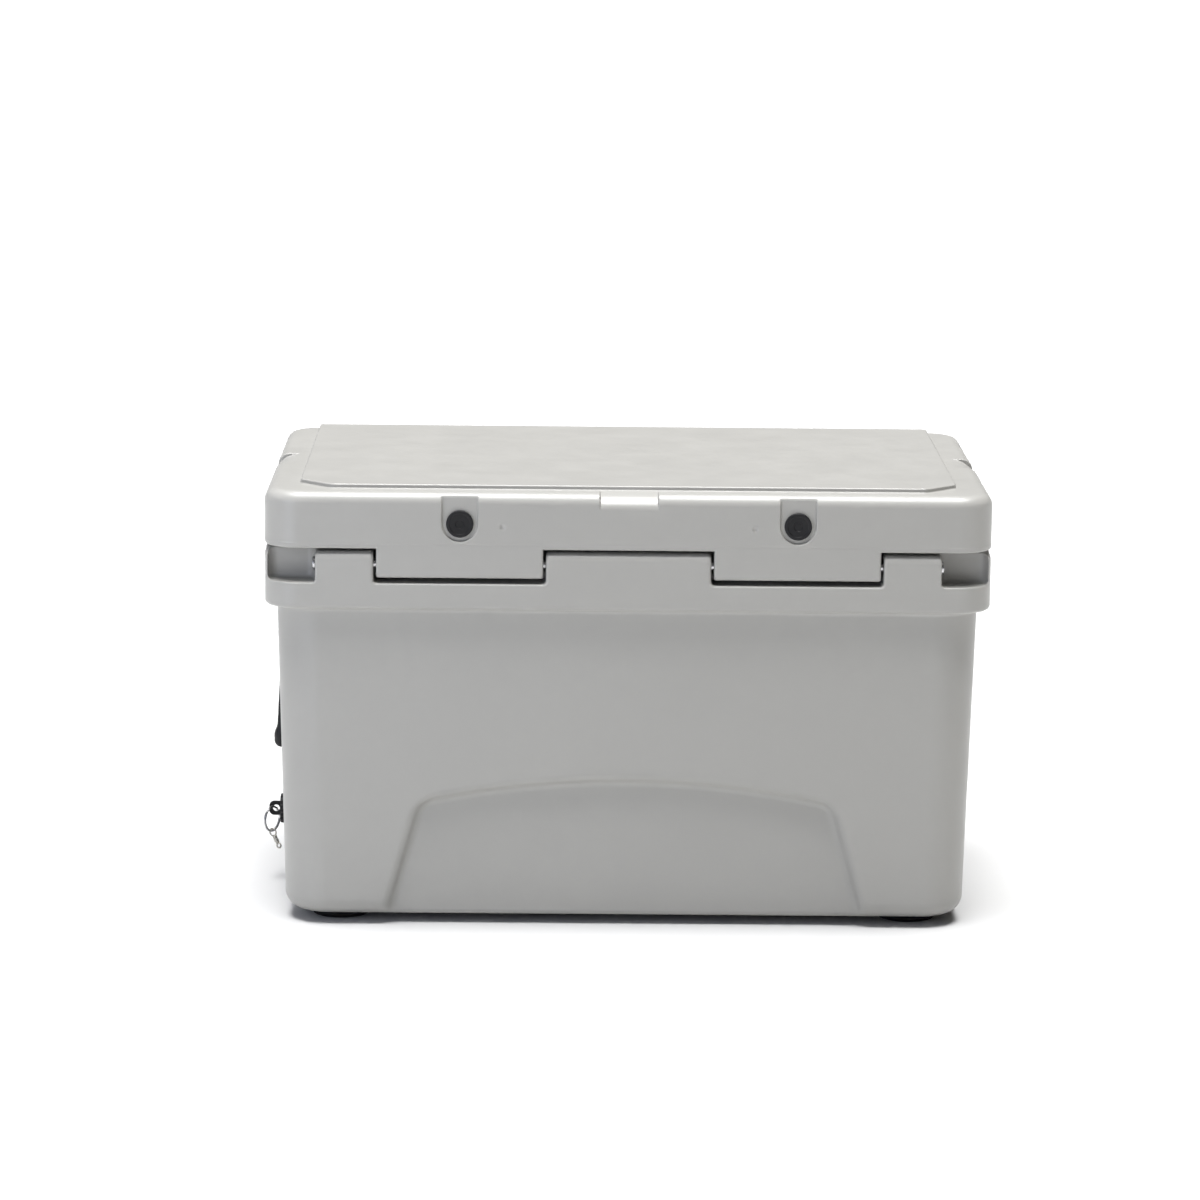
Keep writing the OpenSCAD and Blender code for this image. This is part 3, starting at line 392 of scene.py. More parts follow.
def plug_field(x, y, z):
    """Drain plug: a fluted head, a threaded shank and a pierced tab that carries the ring."""
    w = z - DRAIN_Z
    r = np.hypot(y, w)
    turn = np.arctan2(w, y)
    head_in = PLUG_LOW[0] + 16.8
    head = disc(y, w, x, 14.0, PLUG_LOW[0] + 10.8, head_in, 1.3)
    part = 2 * math.pi / PLUG_FLUTES
    off = turn - part * np.round(turn / part)
    flute = np.hypot(r * np.cos(off) - 14.6, r * np.sin(off)) - 1.9
    d = cut(head, flute, 0.5)
    fade = np.clip((PLUG_HIGH[0] - 1 - x) / 2, 0, 1)
    thread = 0.35 * np.sin(2 * math.pi * x / THREAD_PITCH - turn) * fade
    d = join(d, disc(y, w, x, 7.3, head_in - 2, PLUG_HIGH[0], 1.2) + thread, 0.6)
    tab = meet(meet(PLUG_LOW[0] - x, np.abs(w) - 6.8, 4.5), np.abs(y) - 1.3, 0.5)
    d = join(d, np.maximum(tab, x - PLUG_LOW[0] - 12), 0.8)
    return cut(d, np.hypot(x - RING_HOLE_X, w) - 3.2, 0.5)


def nut_field(x, y, z):
    """Hexagon nut on the drain tube, inside, with a corner upward."""
    low, high = box_mm("drain_nut")
    w = z - DRAIN_Z
    tilted = w * math.sin(math.pi / 3)
    hexagon = np.maximum(np.abs(y), np.maximum(np.abs(y / 2 + tilted), np.abs(y / 2 - tilted)))
    d = meet(hexagon - NUT_R * math.cos(math.pi / 6), span(x, low[0], high[0]), 0.6)
    from_middle = np.abs(x - (low[0] + high[0]) / 2)
    bevel = (np.hypot(y, w) - NUT_R + 0.6 + (from_middle - 3) * 0.9) / 1.35
    return cut(np.maximum(d, bevel), np.hypot(y, w) - TUBE_BORE_R, 0.5)


# ---- Meshes ----

def grid_lines(low, high, coarse, fine=()):
    """Grid lines from low to high, coarse apart, and closer in each (from, to, step) stretch."""
    lines = [float(low)]
    while lines[-1] < high:
        at = lines[-1]
        step = coarse
        for start, end, close in fine:
            if start <= at < end:
                step = min(step, close)
            elif at < start:
                step = min(step, max(close, start - at))
        lines.append(at + step)
    return np.array(lines)


def both_sides(lines):
    """Grid lines from the middle outward, repeated on the other side."""
    return np.concatenate([-lines[:0:-1], lines])


SLAB = 24
PROJECTIONS = 4
CELL_CORNERS = [(a, b, c) for a in (0, 1) for b in (0, 1) for c in (0, 1)]
CELL_EDGES = [(p, q) for p in CELL_CORNERS for q in CELL_CORNERS
              if sum(abs(i - j) for i, j in zip(p, q)) == 1 and p < q]


def sample(field, lines):
    """The field at every crossing of the grid lines."""
    xs, ys, zs = lines
    values = np.empty((len(xs), len(ys), len(zs)), np.float32)
    for i in range(0, len(xs), SLAB):
        part = xs[i:i + SLAB, None, None]
        values[i:i + SLAB] = field(part, ys[None, :, None], zs[None, None, :])
    return values


def gradient(field, p, h):
    g = np.empty_like(p)
    for axis in range(3):
        step = np.zeros(3)
        step[axis] = h
        g[:, axis] = field(*(p + step).T) - field(*(p - step).T)
    return g / (2 * h)


def skin(field, lines):
    """Points, quads and normals of the surface where the field is zero."""
    values = sample(field, lines)
    inside = values < 0
    shape = np.array(inside.shape) - 1
    windows = [inside[a:a + shape[0], b:b + shape[1], c:c + shape[2]] for a, b, c in CELL_CORNERS]
    some = np.logical_or.reduce(windows)
    every = np.logical_and.reduce(windows)
    cells = np.argwhere(some & ~every)
    number = np.full(tuple(shape), -1, np.int64)
    number[tuple(cells.T)] = np.arange(len(cells))
    total = np.zeros((len(cells), 3))
    count = np.zeros(len(cells))
    for p, q in CELL_EDGES:
        a, b = cells + p, cells + q
        fa = values[tuple(a.T)].astype(float)
        fb = values[tuple(b.T)].astype(float)
        crosses = (fa < 0) != (fb < 0)
        t = np.where(crosses, fa / np.where(crosses, fa - fb, 1), 0)[:, None]
        pa = np.stack([lines[k][a[:, k]] for k in range(3)], 1)
        pb = np.stack([lines[k][b[:, k]] for k in range(3)], 1)
        total += np.where(crosses[:, None], pa + t * (pb - pa), 0)
        count += crosses
    points = total / count[:, None]
    quads = []
    for a in range(3):
        b, c = (a + 1) % 3, (a + 2) % 3
        low = np.take(inside, np.arange(shape[a]), a)
        high = np.take(inside, np.arange(1, shape[a] + 1), a)
        edges = np.argwhere(low != high)
        leaves = low[tuple(edges.T)]
        corners = []
        for db, dc in ((1, 1), (0, 1), (0, 0), (1, 0)):
            cell = edges.copy()
            cell[:, b] -= db
            cell[:, c] -= dc
            corners.append(number[tuple(cell.T)])
        quad = np.stack(corners, 1)
        quads.append(np.where(leaves[:, None], quad, quad[:, ::-1]))
    quads = np.concatenate(quads)
    for _ in range(PROJECTIONS):
        g = gradient(field, points, 0.02)
        away = field(*points.T) / np.maximum((g * g).sum(1), 0.05)
        points -= np.clip(away, -0.8, 0.8)[:, None] * g
    g = gradient(field, points, 0.04)
    return points, quads, g / np.maximum(np.linalg.norm(g, axis=1), 1e-9)[:, None]


def add_mesh(name, points, faces, normals=None, smooth=True):
    """A mesh object in metres from points in millimetres from the cooler's middle."""
    mesh = bpy.data.meshes.new(name)
    mesh.from_pydata((np.asarray(points) + MIDDLE) * MM, [], faces)
    mesh.polygons.foreach_set("use_smooth", np.full(len(mesh.polygons), smooth))
    mesh.update()
    if normals is not None:
        mesh.normals_split_custom_set_from_vertices(normals.tolist())
    obj = bpy.data.objects.new(name, mesh)
    bpy.context.scene.collection.objects.link(obj)
    return obj


def dress(obj, body, slot, material, *nodes):
    """Gives a piece its material, its place in the frame and the CAD nodes that it stands for."""
    obj.data.materials.clear()
    obj.data.materials.append(material)
    if nodes:
        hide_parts(*nodes)
    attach(obj, body)
    return obj


def mould(name, field, lines, body, slot, material, *nodes):
    points, quads, normals = skin(field, lines)
    return dress(add_mesh(name, points, quads.tolist(), normals), body, slot, material, *nodes)


def box_lines(low, high, step):
    """Even grid lines round a box, with a margin."""
    return [grid_lines(a - 2.6 * step, b + 2.6 * step, step) for a, b in zip(low, high)]


def turned(profile, turns=64):
    """Points and quads of a profile of (radius, height) turned about Z. Ends at radius 0 close the shape."""
    points, faces = [], []
    rows = []
    for radius, height in profile:
        if radius < 1e-6:
            rows.append([len(points)])
            points.append((0.0, 0.0, height))
            continue
        rows.append(list(range(len(points), len(points) + turns)))
        for i in range(turns):
            a = 2 * math.pi * i / turns
            points.append((radius * math.cos(a), radius * math.sin(a), height))
    for low, high in zip(rows, rows[1:] + [rows[0]]):
        for i in range(turns):
            j = (i + 1) % turns
            quad = [low[i % len(low)], low[j % len(low)], high[j % len(high)], high[i % len(high)]]
            ring = [v for k, v in enumerate(quad) if v not in quad[:k]]
            if len(ring) > 2:
                faces.append(ring)
    return np.array(points), faces


def rounded(corners, r, steps=5):
    """The closed profile with its corners rounded. A corner may give its own radius as a third number."""
    out = []
    n = len(corners)
    for i, corner in enumerate(corners):
        p = Vector(corner[:2])
        a = Vector(corners[i - 1][:2]) - p
        b = Vector(corners[(i + 1) % n][:2]) - p
        radius = corner[2] if len(corner) > 2 else r
        if radius <= 0 or p.x < 1e-6:
            out.append((p.x, p.y))
            continue
        half = a.angle(b) / 2
        reach = min(radius / math.tan(half), 0.49 * a.length, 0.49 * b.length)
        start, end = p + a.normalized() * reach, p + b.normalized() * reach
        for k in range(steps + 1):
            t = k / steps
            q = start * (1 - t) ** 2 + p * 2 * t * (1 - t) + end * t ** 2
            out.append((q.x, q.y))
    return out


def place(points, origin, z_axis, x_axis=None):
    """Points moved to an origin, with their Z along z_axis."""
    z = Vector(z_axis).normalized()
    x = Vector(x_axis) if x_axis is not None else z.orthogonal()
    x = (x - z * x.dot(z)).normalized()
    y = z.cross(x)
    turn = np.array([x, y, z])
    return np.asarray(points) @ turn + np.array(origin, float)


def merge(parts):
    """Several (points, faces) as one."""
    points, faces, start = [], [], 0
    for p, f in parts:
        points.append(np.asarray(p, float))
        faces.extend([[i + start for i in face] for face in f])
        start += len(p)
    return np.concatenate(points), faces


def lathe(name, parts, body, slot, material, *nodes):
    """A piece of several turned or swept parts, smooth except at sharp edges."""
    points, faces = merge(parts)
    obj = add_mesh(name, points, faces)
    tidy = bmesh.new()
    tidy.from_mesh(obj.data)
    bmesh.ops.recalc_face_normals(tidy, faces=tidy.faces)
    tidy.to_mesh(obj.data)
    tidy.free()
    obj.data.set_sharp_from_angle(angle=math.radians(38))
    return dress(obj, body, slot, material, *nodes)


def swept(path, section, closed):
    """Points and faces of a section of (side, up) pairs carried along a path of (point, side, up) rows."""
    points, faces = [], []
    n, m = len(path), len(section)
    for at, side, up in path:
        for a, b in section:
            points.append(np.array(at) + a * np.array(side) + b * np.array(up))
    for i in range(n if closed else n - 1):
        j = (i + 1) % n
        for k in range(m):
            l = (k + 1) % m
            faces.append([i * m + k, i * m + l, j * m + l, j * m + k])
    if not closed:
        faces.append(list(range(m))[::-1])
        faces.append(list(range((n - 1) * m, n * m)))
    return np.array(points), faces


# ---- Materials ----

class Paint:
    """A node material built step by step around one Principled shader."""

    def __init__(self, name, colour, roughness, metallic=0.0, specular=0.5):
        self.material = bpy.data.materials.new(name)
        self.material.use_nodes = True
        self.nodes = self.material.node_tree.nodes
        self.links = self.material.node_tree.links
        self.shader = self.nodes["Principled BSDF"]
        self.shader.inputs["Base Color"].default_value = (*colour, 1)
        self.shader.inputs["Roughness"].default_value = roughness
        self.shader.inputs["Metallic"].default_value = metallic
        self.shader.inputs["Specular IOR Level"].default_value = specular
        self.colour = colour
        self.roughness = roughness
        self.coords = self.nodes.new("ShaderNodeTexCoord").outputs["Object"]
        self.height = None

    def noise(self, scale, detail=3.0, rough=0.55, stretch=(1, 1, 1)):
        vector = self.coords
        if stretch != (1, 1, 1):
            mapping = self.nodes.new("ShaderNodeMapping")
            mapping.inputs["Scale"].default_value = stretch
            self.links.new(vector, mapping.inputs["Vector"])
            vector = mapping.outputs["Vector"]
        node = self.nodes.new("ShaderNodeTexNoise")
        node.inputs["Scale"].default_value = scale
        node.inputs["Detail"].default_value = detail
        node.inputs["Roughness"].default_value = rough
        self.links.new(vector, node.inputs["Vector"])
        return node.outputs["Fac"]

    def spread(self, value, low, high, start=0.3, end=0.7):
        node = self.nodes.new("ShaderNodeMapRange")
        node.inputs["From Min"].default_value = start
        node.inputs["From Max"].default_value = end
        node.inputs["To Min"].default_value = low
        node.inputs["To Max"].default_value = high
        self.links.new(value, node.inputs["Value"])
        return node.outputs["Result"]

    def tint(self, value, other, share):
        """Moves the colour part of the way to another one where value is high."""
        node = self.nodes.new("ShaderNodeMix")
        node.data_type = "RGBA"
        shader_input = self.shader.inputs["Base Color"]
        if shader_input.is_linked:
            self.links.new(shader_input.links[0].from_socket, node.inputs["A"])
        else:
            node.inputs["A"].default_value = (*self.colour, 1)
        node.inputs["B"].default_value = (*other, 1)
        self.links.new(self.spread(value, 0, share), node.inputs["Factor"])
        self.links.new(node.outputs["Result"], shader_input)
        return self

    def vary_roughness(self, value, change):
        out = self.spread(value, self.roughness - change, self.roughness + change)
        self.links.new(out, self.shader.inputs["Roughness"])
        return self

    def bump(self, value, depth_mm, strength=1.0):
        """Adds a height, in millimetres for a value from 0 to 1."""
        node = self.nodes.new("ShaderNodeBump")
        node.inputs["Distance"].default_value = depth_mm * MM
        node.inputs["Strength"].default_value = strength
        self.links.new(value, node.inputs["Height"])
        if self.height is not None:
            self.links.new(self.height, node.inputs["Normal"])
        self.height = node.outputs["Normal"]
        self.links.new(self.height, self.shader.inputs["Normal"])
        return self


def moulded_shell():
    """Rotationally moulded polyethylene: soft sheen, fine orange peel and faint clouding."""
    paint = Paint("moulded_shell_look", SHELL_COLOUR, 0.37, specular=0.5)
    paint.tint(paint.noise(5, 3), tuple(0.965 * c for c in SHELL_COLOUR), 1.0)
    paint.tint(paint.noise(60, 4, 0.65), tuple(0.97 * c for c in SHELL_COLOUR), 1.0)
    paint.vary_roughness(paint.noise(26, 5, 0.6), 0.05)
    paint.bump(paint.noise(18, 2, 0.5), 0.35)
    paint.bump(paint.noise(330, 3, 0.6), 0.035)
    return paint.material


def black_plastic():
    paint = Paint("black_plastic_look", (0.009, 0.009, 0.010), 0.42, specular=0.22)
    paint.tint(paint.noise(40, 3), (0.014, 0.014, 0.015), 1.0)
    paint.vary_roughness(paint.noise(90, 4), 0.07)
    paint.bump(paint.noise(1500, 2, 0.6), 0.03)
    return paint.material


def black_rubber():
    paint = Paint("black_rubber_look", (0.008, 0.008, 0.008), 0.62, specular=0.16)
    paint.tint(paint.noise(55, 4), (0.013, 0.013, 0.013), 1.0)
    paint.vary_roughness(paint.noise(120, 3), 0.08)
    paint.bump(paint.noise(900, 4, 0.7), 0.03)
    return paint.material


def grey_rubber():
    paint = Paint("grey_rubber_look", (0.075, 0.076, 0.080), 0.55, specular=0.4)
    paint.tint(paint.noise(30, 4), (0.095, 0.096, 0.10), 1.0)
    paint.vary_roughness(paint.noise(200, 3), 0.06)
    paint.bump(paint.noise(700, 3, 0.6), 0.025)
    return paint.material


def steel():
    paint = Paint("steel_look", (0.60, 0.60, 0.61), 0.26, metallic=1.0)
    paint.tint(paint.noise(150, 4), (0.50, 0.50, 0.51), 1.0)
    paint.vary_roughness(paint.noise(500, 4, 0.6, (1, 1, 12)), 0.08)
    paint.bump(paint.noise(900, 3, 0.6, (1, 1, 9)), 0.008)
    return paint.material


def nickel():
    paint = Paint("nickel_look", (0.47, 0.45, 0.41), 0.34, metallic=1.0)
    paint.tint(paint.noise(260, 4), (0.26, 0.25, 0.22), 0.8)
    paint.vary_roughness(paint.noise(420, 4), 0.1)
    paint.bump(paint.noise(800, 3), 0.012)
    return paint.material


def foam():
    paint = Paint("foam_look", (0.80, 0.70, 0.46), 0.85, specular=0.2)
    paint.tint(paint.noise(70, 5), (0.70, 0.58, 0.34), 1.0)
    paint.vary_roughness(paint.noise(300, 3), 0.08)
    paint.bump(paint.noise(800, 4, 0.7), 0.25)
    return paint.material


SHELL_COLOUR = (0.340, 0.335, 0.318)
SHELL = moulded_shell()
PLASTIC = black_plastic()
RUBBER = black_rubber()
SEAL = grey_rubber()
STEEL = steel()
NICKEL = nickel()
FOAM = foam()

# ---- Body ----

body_x = both_sides(grid_lines(0, HALF_L + 3, 5, (
    (70, 80, 1.2), (80, 120, 4), (120, 127, 1.2), (127, 165, 4), (165, 176, 2.2), (176, 184, 1.2),
    (184, 225, 2.2), (225, 232, 1.2), (232, 277, 2.2), (277, 285, 1.2), (285, 307, 1.8), (307, 331, 1.1))))
body_y = np.concatenate([
    grid_lines(-HALF_D - 3, -22.5, 6, (
        (-209, -170, 1.15), (-170, -146, 1.6), (-146, -110, 2.6), (-79, -75, 1.2), (-27, -22, 2))),
    grid_lines(-20.5, HALF_D + 3, 6, (
        (-21, 25, 2), (75, 79, 1.2), (110, 146, 2.6), (146, 160, 1.6), (160, 188, 2.8), (188, 209, 1.1)))])
body_z = grid_lines(BASE - 3, RIM_TOP + 3, 7, (
    (4, 27, 1.3), (27, 75, 2.1), (75, 99, 4), (99, 143, 1.7), (210, 215, 1.2), (215, 245, 5), (245, 250, 1.2),
    (286, 315, 1.25), (315, 323, 1.1), (323, 333, 3), (333, 351, 1.05)))
mould("body_skin", body_field, (body_x, body_y, body_z), "body", "moulded_shell", SHELL, "body_shell")

# ---- Lid ----

lid_x = both_sides(grid_lines(0, HALF_L + 3, 5, (
    (22, 30, 1.2), (70, 80, 1.2), (107, 119, 0.9), (122, 181, 1.4), (221, 231, 1.2), (231, 272, 2.4),
    (272, 300, 1.6), (300, 331, 1.2))))
lid_y = np.concatenate([
    grid_lines(-HALF_D - 3, -30, 5, ((-209, -178, 1.1), (-178, -156, 1.5), (-156, -120, 2.4))),
    grid_lines(-28, HALF_D + 3, 5, ((-29, -22, 1.2), (22, 30, 1.2), (118, 156, 2.4), (156, 209, 1.3)))])
lid_z = grid_lines(AXIS_Z - TAB_BACK - 3, PANEL_TOP + 3, 5, (
    (318, 337, 1.2), (337, 344, 0.9), (344, 348, 1.5), (348, 359, 0.9), (359, 388, 1.5), (388, 409, 0.9)))
mould("lid_skin", lid_field, (lid_x, lid_y, lid_z), "lid", "moulded_shell", SHELL, "lid_shell")


def gasket():
    """Two-lipped seal in the lid's groove."""
    middle = GASKET_OUT + GASKET_W / 2
    half_x, half_y, r = OPENING_X + middle, OPENING_Y + middle, LINER_R + middle
    path = []
    for cx, cy, start in ((1, 1, 0), (-1, 1, 90), (-1, -1, 180), (1, -1, 270)):
        for k in range(17):
            a = math.radians(start + 90 * k / 16)
            out = np.array((math.cos(a), math.sin(a), 0))
            corner = np.array((cx * (half_x - r), cy * (half_y - r), RIM_TOP + 0.3))
            path.append((corner + r * out, out, (0, 0, 1)))
    tall = LID_LOW + 2 - RIM_TOP - 0.3
    section = rounded([(-4.8, tall, 0), (-4.8, 2.8), (-3.2, 0), (-1.6, 0), (0, 2.2), (1.6, 0), (3.2, 0),
                       (4.8, 2.8), (4.8, tall, 0)], 0.5, 3)
    return swept(path, section, True)


lathe("lid_seal", [gasket()], "lid", "grey_rubber", SEAL, "lid_gasket")

# ---- Caps, feet, pins and screws ----


def cap(origin, out, r=12.25, thick=3.0, stub=9.0):
    """Press-in cap with a raised rim and a dimple."""
    face, dimple = thick - 0.6, thick - 1.4
    profile = rounded([(0, -stub), (7.9, -stub), (7.9, 0, 0.1), (r, 0, 0.3), (r, thick, 1.1),
                       (r - 2.6, thick, 0.5), (r - 3.4, face, 0.4), (4.2, face, 0.4),
                       (3.6, dimple, 0.4), (0, dimple)], 0.5)
    points, faces = turned(profile)
    return place(points, origin, out), faces


for side, sign in (("left", -1), ("right", 1)):
    at = (sign * TAB_MID, -HALF_D + CAP_POCKET, CAP_Z)
    lathe("lid_cap_" + side, [cap(at, (0, -1, 0))], "lid", "black_plastic", PLASTIC, "fill_cap_" + side)
lathe("base_caps", [cap((sign * BASE_CAP_X, 0, BASE + 3), (0, 0, -1)) for sign in (-1, 1)],
      "body", "black_plastic", PLASTIC, "base_fill_caps")


def foot_part(sign_x, sign_y):
    """Round rubber foot with a grooved side, a ringed sole and a screw recess."""
    r = FOOT_R
    profile = rounded([(2.8, 10), (r, 10, 0.2), (r, 6.4, 0.5), (r - 0.9, 5.6, 0.4), (r - 0.9, 4.8, 0.4),
                       (r, 4, 0.5), (r, 2.4, 0.8), (r - 1.5, 0, 1.2), (20, 0, 0.6), (19, 0.9, 0.4),
                       (15, 0.9, 0.4), (14, 0, 0.6), (8, 0, 0.8), (6.1, 1.6, 0.5), (6.1, 7, 0.3),
                       (2.8, 7, 0.3)], 0.4)
    points, faces = turned(profile, 96)
    return place(points, (sign_x * FOOT_X, sign_y * FOOT_Y, 0), (0, 0, 1), (1, 0, 0)), faces


for x_name, sign_x in (("left", -1), ("right", 1)):
    for y_name, sign_y in (("back", -1), ("front", 1)):
        place_name = y_name + "_" + x_name
        lathe("rubber_foot_" + place_name, [foot_part(sign_x, sign_y)], "body", "black_rubber", RUBBER,
              "foot_" + place_name)


def screw(origin, out, shank_r, shank_l, head_r, head_h):
    """Pan-head screw with a hexagon recess."""
    key = head_r * 0.45
    profile = [(0, -shank_l), (shank_r * 0.5, -shank_l)]
    pitch = 0.9
    turns = int((shank_l - 1.5) / pitch)
    for i in range(turns):
        low = -shank_l + 0.6 + i * pitch
        profile += [(shank_r * 0.82, low), (shank_r, low + pitch / 2)]
    profile += [(shank_r, -0.6), (shank_r, 0)]
    profile += rounded([(head_r, 0, 0.15), (head_r, head_h * 0.45, head_h * 0.3),
                        (head_r * 0.78, head_h, head_h * 0.4), (key * 1.1, head_h, 0.1),
                        (key, head_h - 0.25, 0.05), (key, head_h * 0.4, 0)], 0.1, 3)
    profile += [(0, head_h * 0.3)]
    points, faces = turned(profile, 48)
    radius = np.hypot(points[:, 0], points[:, 1])
    angle = np.arctan2(points[:, 1], points[:, 0])
    sixth = math.pi / 3
    flat = math.cos(math.pi / 6) / np.cos(angle - sixth * np.round(angle / sixth))
    drive = (radius < key * 1.02) & (radius > 0.01) & (points[:, 2] > 0)
    points[drive, :2] *= flat[drive, None]
    return place(points, origin, out), faces


handle_screws = []
for sign in (-1, 1):
    for dy in (-SCREW_Y, SCREW_Y):
        for dz in (-SCREW_UP, SCREW_UP):
            at = (sign * (BRACKET_LOW[0] + 3), dy, HANDLE_Z + dz)
            handle_screws.append(screw(at, (sign, 0, 0), *SCREW))
lathe("handle_bracket_screws", handle_screws, "body", "steel", STEEL, "handle_screws")

ANCHOR_SCREW_X = box_mm("latch_screws")[1][0] - 4.0 - TAB_MID
latch_screws = []
for sign in (-1, 1):
    for dx in (-ANCHOR_SCREW_X, ANCHOR_SCREW_X):
        at = (sign * TAB_MID + dx, HALF_D - OVERHANG, LATCH_Z)
        latch_screws.append(screw(at, (0, 1, 0), *SCREW))
lathe("latch_anchor_screws", latch_screws, "body", "steel", STEEL, "latch_screws")

FOOT_SCREW_LOW, FOOT_SCREW_HIGH = box_mm("foot_screws")
foot_screws = [screw((sx * FOOT_X, sy * FOOT_Y, FOOT_SCREW_LOW[2] + 3), (0, 0, -1), 2.5,
                     FOOT_SCREW_HIGH[2] - FOOT_SCREW_LOW[2] - 3, 5.0, 3.0)
               for sx in (-1, 1) for sy in (-1, 1)]
lathe("foot_bolts", foot_screws, "body", "steel", STEEL, "foot_screws")


def pin(start, end, r, head_r=0.0, head_h=0.0):
    """Rod with rounded ends, and a flat head at its end if it has one."""
    start, end = np.array(start, float), np.array(end, float)
    length = float(np.linalg.norm(end - start))
    if head_r:
        corners = [(0, 0), (r, 0, 0.8), (r, length - head_h, 0), (head_r, length - head_h, 0.3),
                   (head_r, length, 0.7), (0, length)]
    else:
        corners = [(0, 0), (r, 0, 0.5), (r, length, 0.5), (0, length)]
    points, faces = turned(rounded(corners, 0.5))
    return place(points, start, end - start), faces


for side, sign in (("left", -1), ("right", 1)):
    low, high = box_mm("hinge_pin_right")
    rod = pin((sign * low[0], AXIS_Y, AXIS_Z), (sign * high[0], AXIS_Y, AXIS_Z), HINGE_PIN_R, 6.0, 2.5)
    lathe("hinge_rod_" + side, [rod], "body", "steel", STEEL, "hinge_pin_" + side)
    low, high = box_mm("latch_pin_right")
    rod = pin((sign * low[0], LATCH_Y, LATCH_Z), (sign * high[0], LATCH_Y, LATCH_Z), PIN_R)
    lathe("latch_rod_" + side, [rod], "body", "steel", STEEL, "latch_pin_" + side)
    low, high = box_mm("handle_pins_right")
    reach = high[1] - HANDLE_HALF
    rods = [pin((sign * HANDLE_X, y - reach, HANDLE_Z), (sign * HANDLE_X, y + reach, HANDLE_Z), PIN_R)
            for y in (-HANDLE_HALF, HANDLE_HALF)]
    lathe("handle_rods_" + side, rods, "body", "steel", STEEL, "handle_pins_" + side)

# ---- Latches, handles and their fixings ----

for side, sign in (("left", -1), ("right", 1)):
    left_handle = leaning(handle_field)
    parts = (
        ("latch_strap_", "latch_", latch_field, mirrored(latch_field), 1.0, "latch_" + side,
         "black_rubber", RUBBER),
        ("latch_plate_", "latch_anchor_", anchor_field, mirrored(anchor_field), 0.9, "body",
         "black_plastic", PLASTIC),
        ("bail_handle_", "handle_", handle_field, left_handle, 1.25, "handle_" + side,
         "black_plastic", PLASTIC),
        ("handle_plate_", "handle_bracket_", bracket_field, mirrored(bracket_field), 1.1, "body",
         "black_plastic", PLASTIC))
    for name, node, right_field, left_field, step, body, slot_name, look in parts:
        low, high = box_mm(node + side)
        shape = right_field if sign > 0 else left_field
        mould(name + side, shape, box_lines(low, high, step), body, slot_name, look, node + side)

# ---- Drain ----


def on_drain(profile, r, inner_x, turns=96):
    """A turned part on the drain's axis, from inner_x outward."""
    points, faces = turned(rounded(profile, r), turns)
    return place(points, (inner_x, 0, DRAIN_Z), (-1, 0, 0)), faces


low, high = box_mm("drain_fitting")
tube_l = high[0] - low[0]
tube = on_drain([(8, 0), (TUBE_R, 0, 0.6), (TUBE_R, tube_l - 4, 0), (FLANGE_R, tube_l - 4, 0.4),
                 (FLANGE_R, tube_l, 1.4), (14.5, tube_l, 0.5), (13.8, tube_l - 0.6, 0.3),
                 (8.6, tube_l - 0.6, 0.4), (8, tube_l - 1.2, 0.3)], 0.4, high[0])
lathe("drain_tube", [tube], "body", "black_plastic", PLASTIC, "drain_fitting")
low, high = box_mm("drain_washer")
thick = high[0] - low[0]
washer = on_drain([(TUBE_BORE_R, 0), (FLANGE_R, 0, 0.4), (FLANGE_R, thick, 0.4), (TUBE_BORE_R, thick)],
                  0.2, high[0])
lathe("drain_gasket", [washer], "body", "grey_rubber", SEAL, "drain_washer")
low, high = box_mm("plug_seal")
seal_r = (high[2] - low[2]) / 2
thick = high[0] - low[0]
seal = on_drain([(8.1, 0, 0.7), (seal_r, 0, 0.85), (seal_r, thick, 0.85), (8.1, thick, 0.7)], 0.8, high[0])
lathe("plug_o_ring", [seal], "seal", "grey_rubber", SEAL, "plug_seal")
mould("drain_nut_hex", nut_field, box_lines(*box_mm("drain_nut"), 0.8), "body",
      "black_plastic", PLASTIC, "drain_nut")
mould("plug_screw", plug_field, box_lines(PLUG_LOW, PLUG_HIGH, 0.6), "plug",
      "black_plastic", PLASTIC, "drain_plug")

RING_LOW, RING_HIGH = box_mm("plug_ring")
RING_WIRE = 0.9
RING_R = (RING_HIGH[2] - RING_LOW[2]) / 2 - RING_WIRE
EYE = joint_mm("swivel_swing")
ring_y = -np.array(JOINTS["swivel_swing"]["axis"], float)
ring_x = np.cross(ring_y, (0, 0, 1))
ring_mid = (RING_LOW + RING_HIGH) / 2


def split_ring():
    """Flat wire wound twice."""
    path = []
    count = 150
    for k in range(count + 1):
        turn = 2 * k / count
        a = 2 * math.pi * turn + 0.6
        out = math.cos(a) * ring_y + math.sin(a) * np.array((0, 0, 1))
        path.append((ring_mid + RING_R * out + (turn - 1) * 0.92 * ring_x, out, ring_x))
    section = rounded([(-0.88, -0.42), (0.88, -0.42), (0.88, 0.42), (-0.88, 0.42)], 0.3, 3)
    return swept(path, section, False)


def wire_loop(centre, axis, r, wire):
    """Closed loop of round wire."""
    axis = np.array(axis, float)
    side = np.array(Vector(axis).orthogonal().normalized())
    up = np.cross(axis, side)
    path = []
    for k in range(56):
        a = 2 * math.pi * k / 56
        out = math.cos(a) * side + math.sin(a) * up
        path.append((centre + r * out, out, axis))
    round_steps = [2 * math.pi * k / 12 for k in range(12)]
    section = [(wire * math.cos(a), wire * math.sin(a)) for a in round_steps]
    return swept(path, section, True)


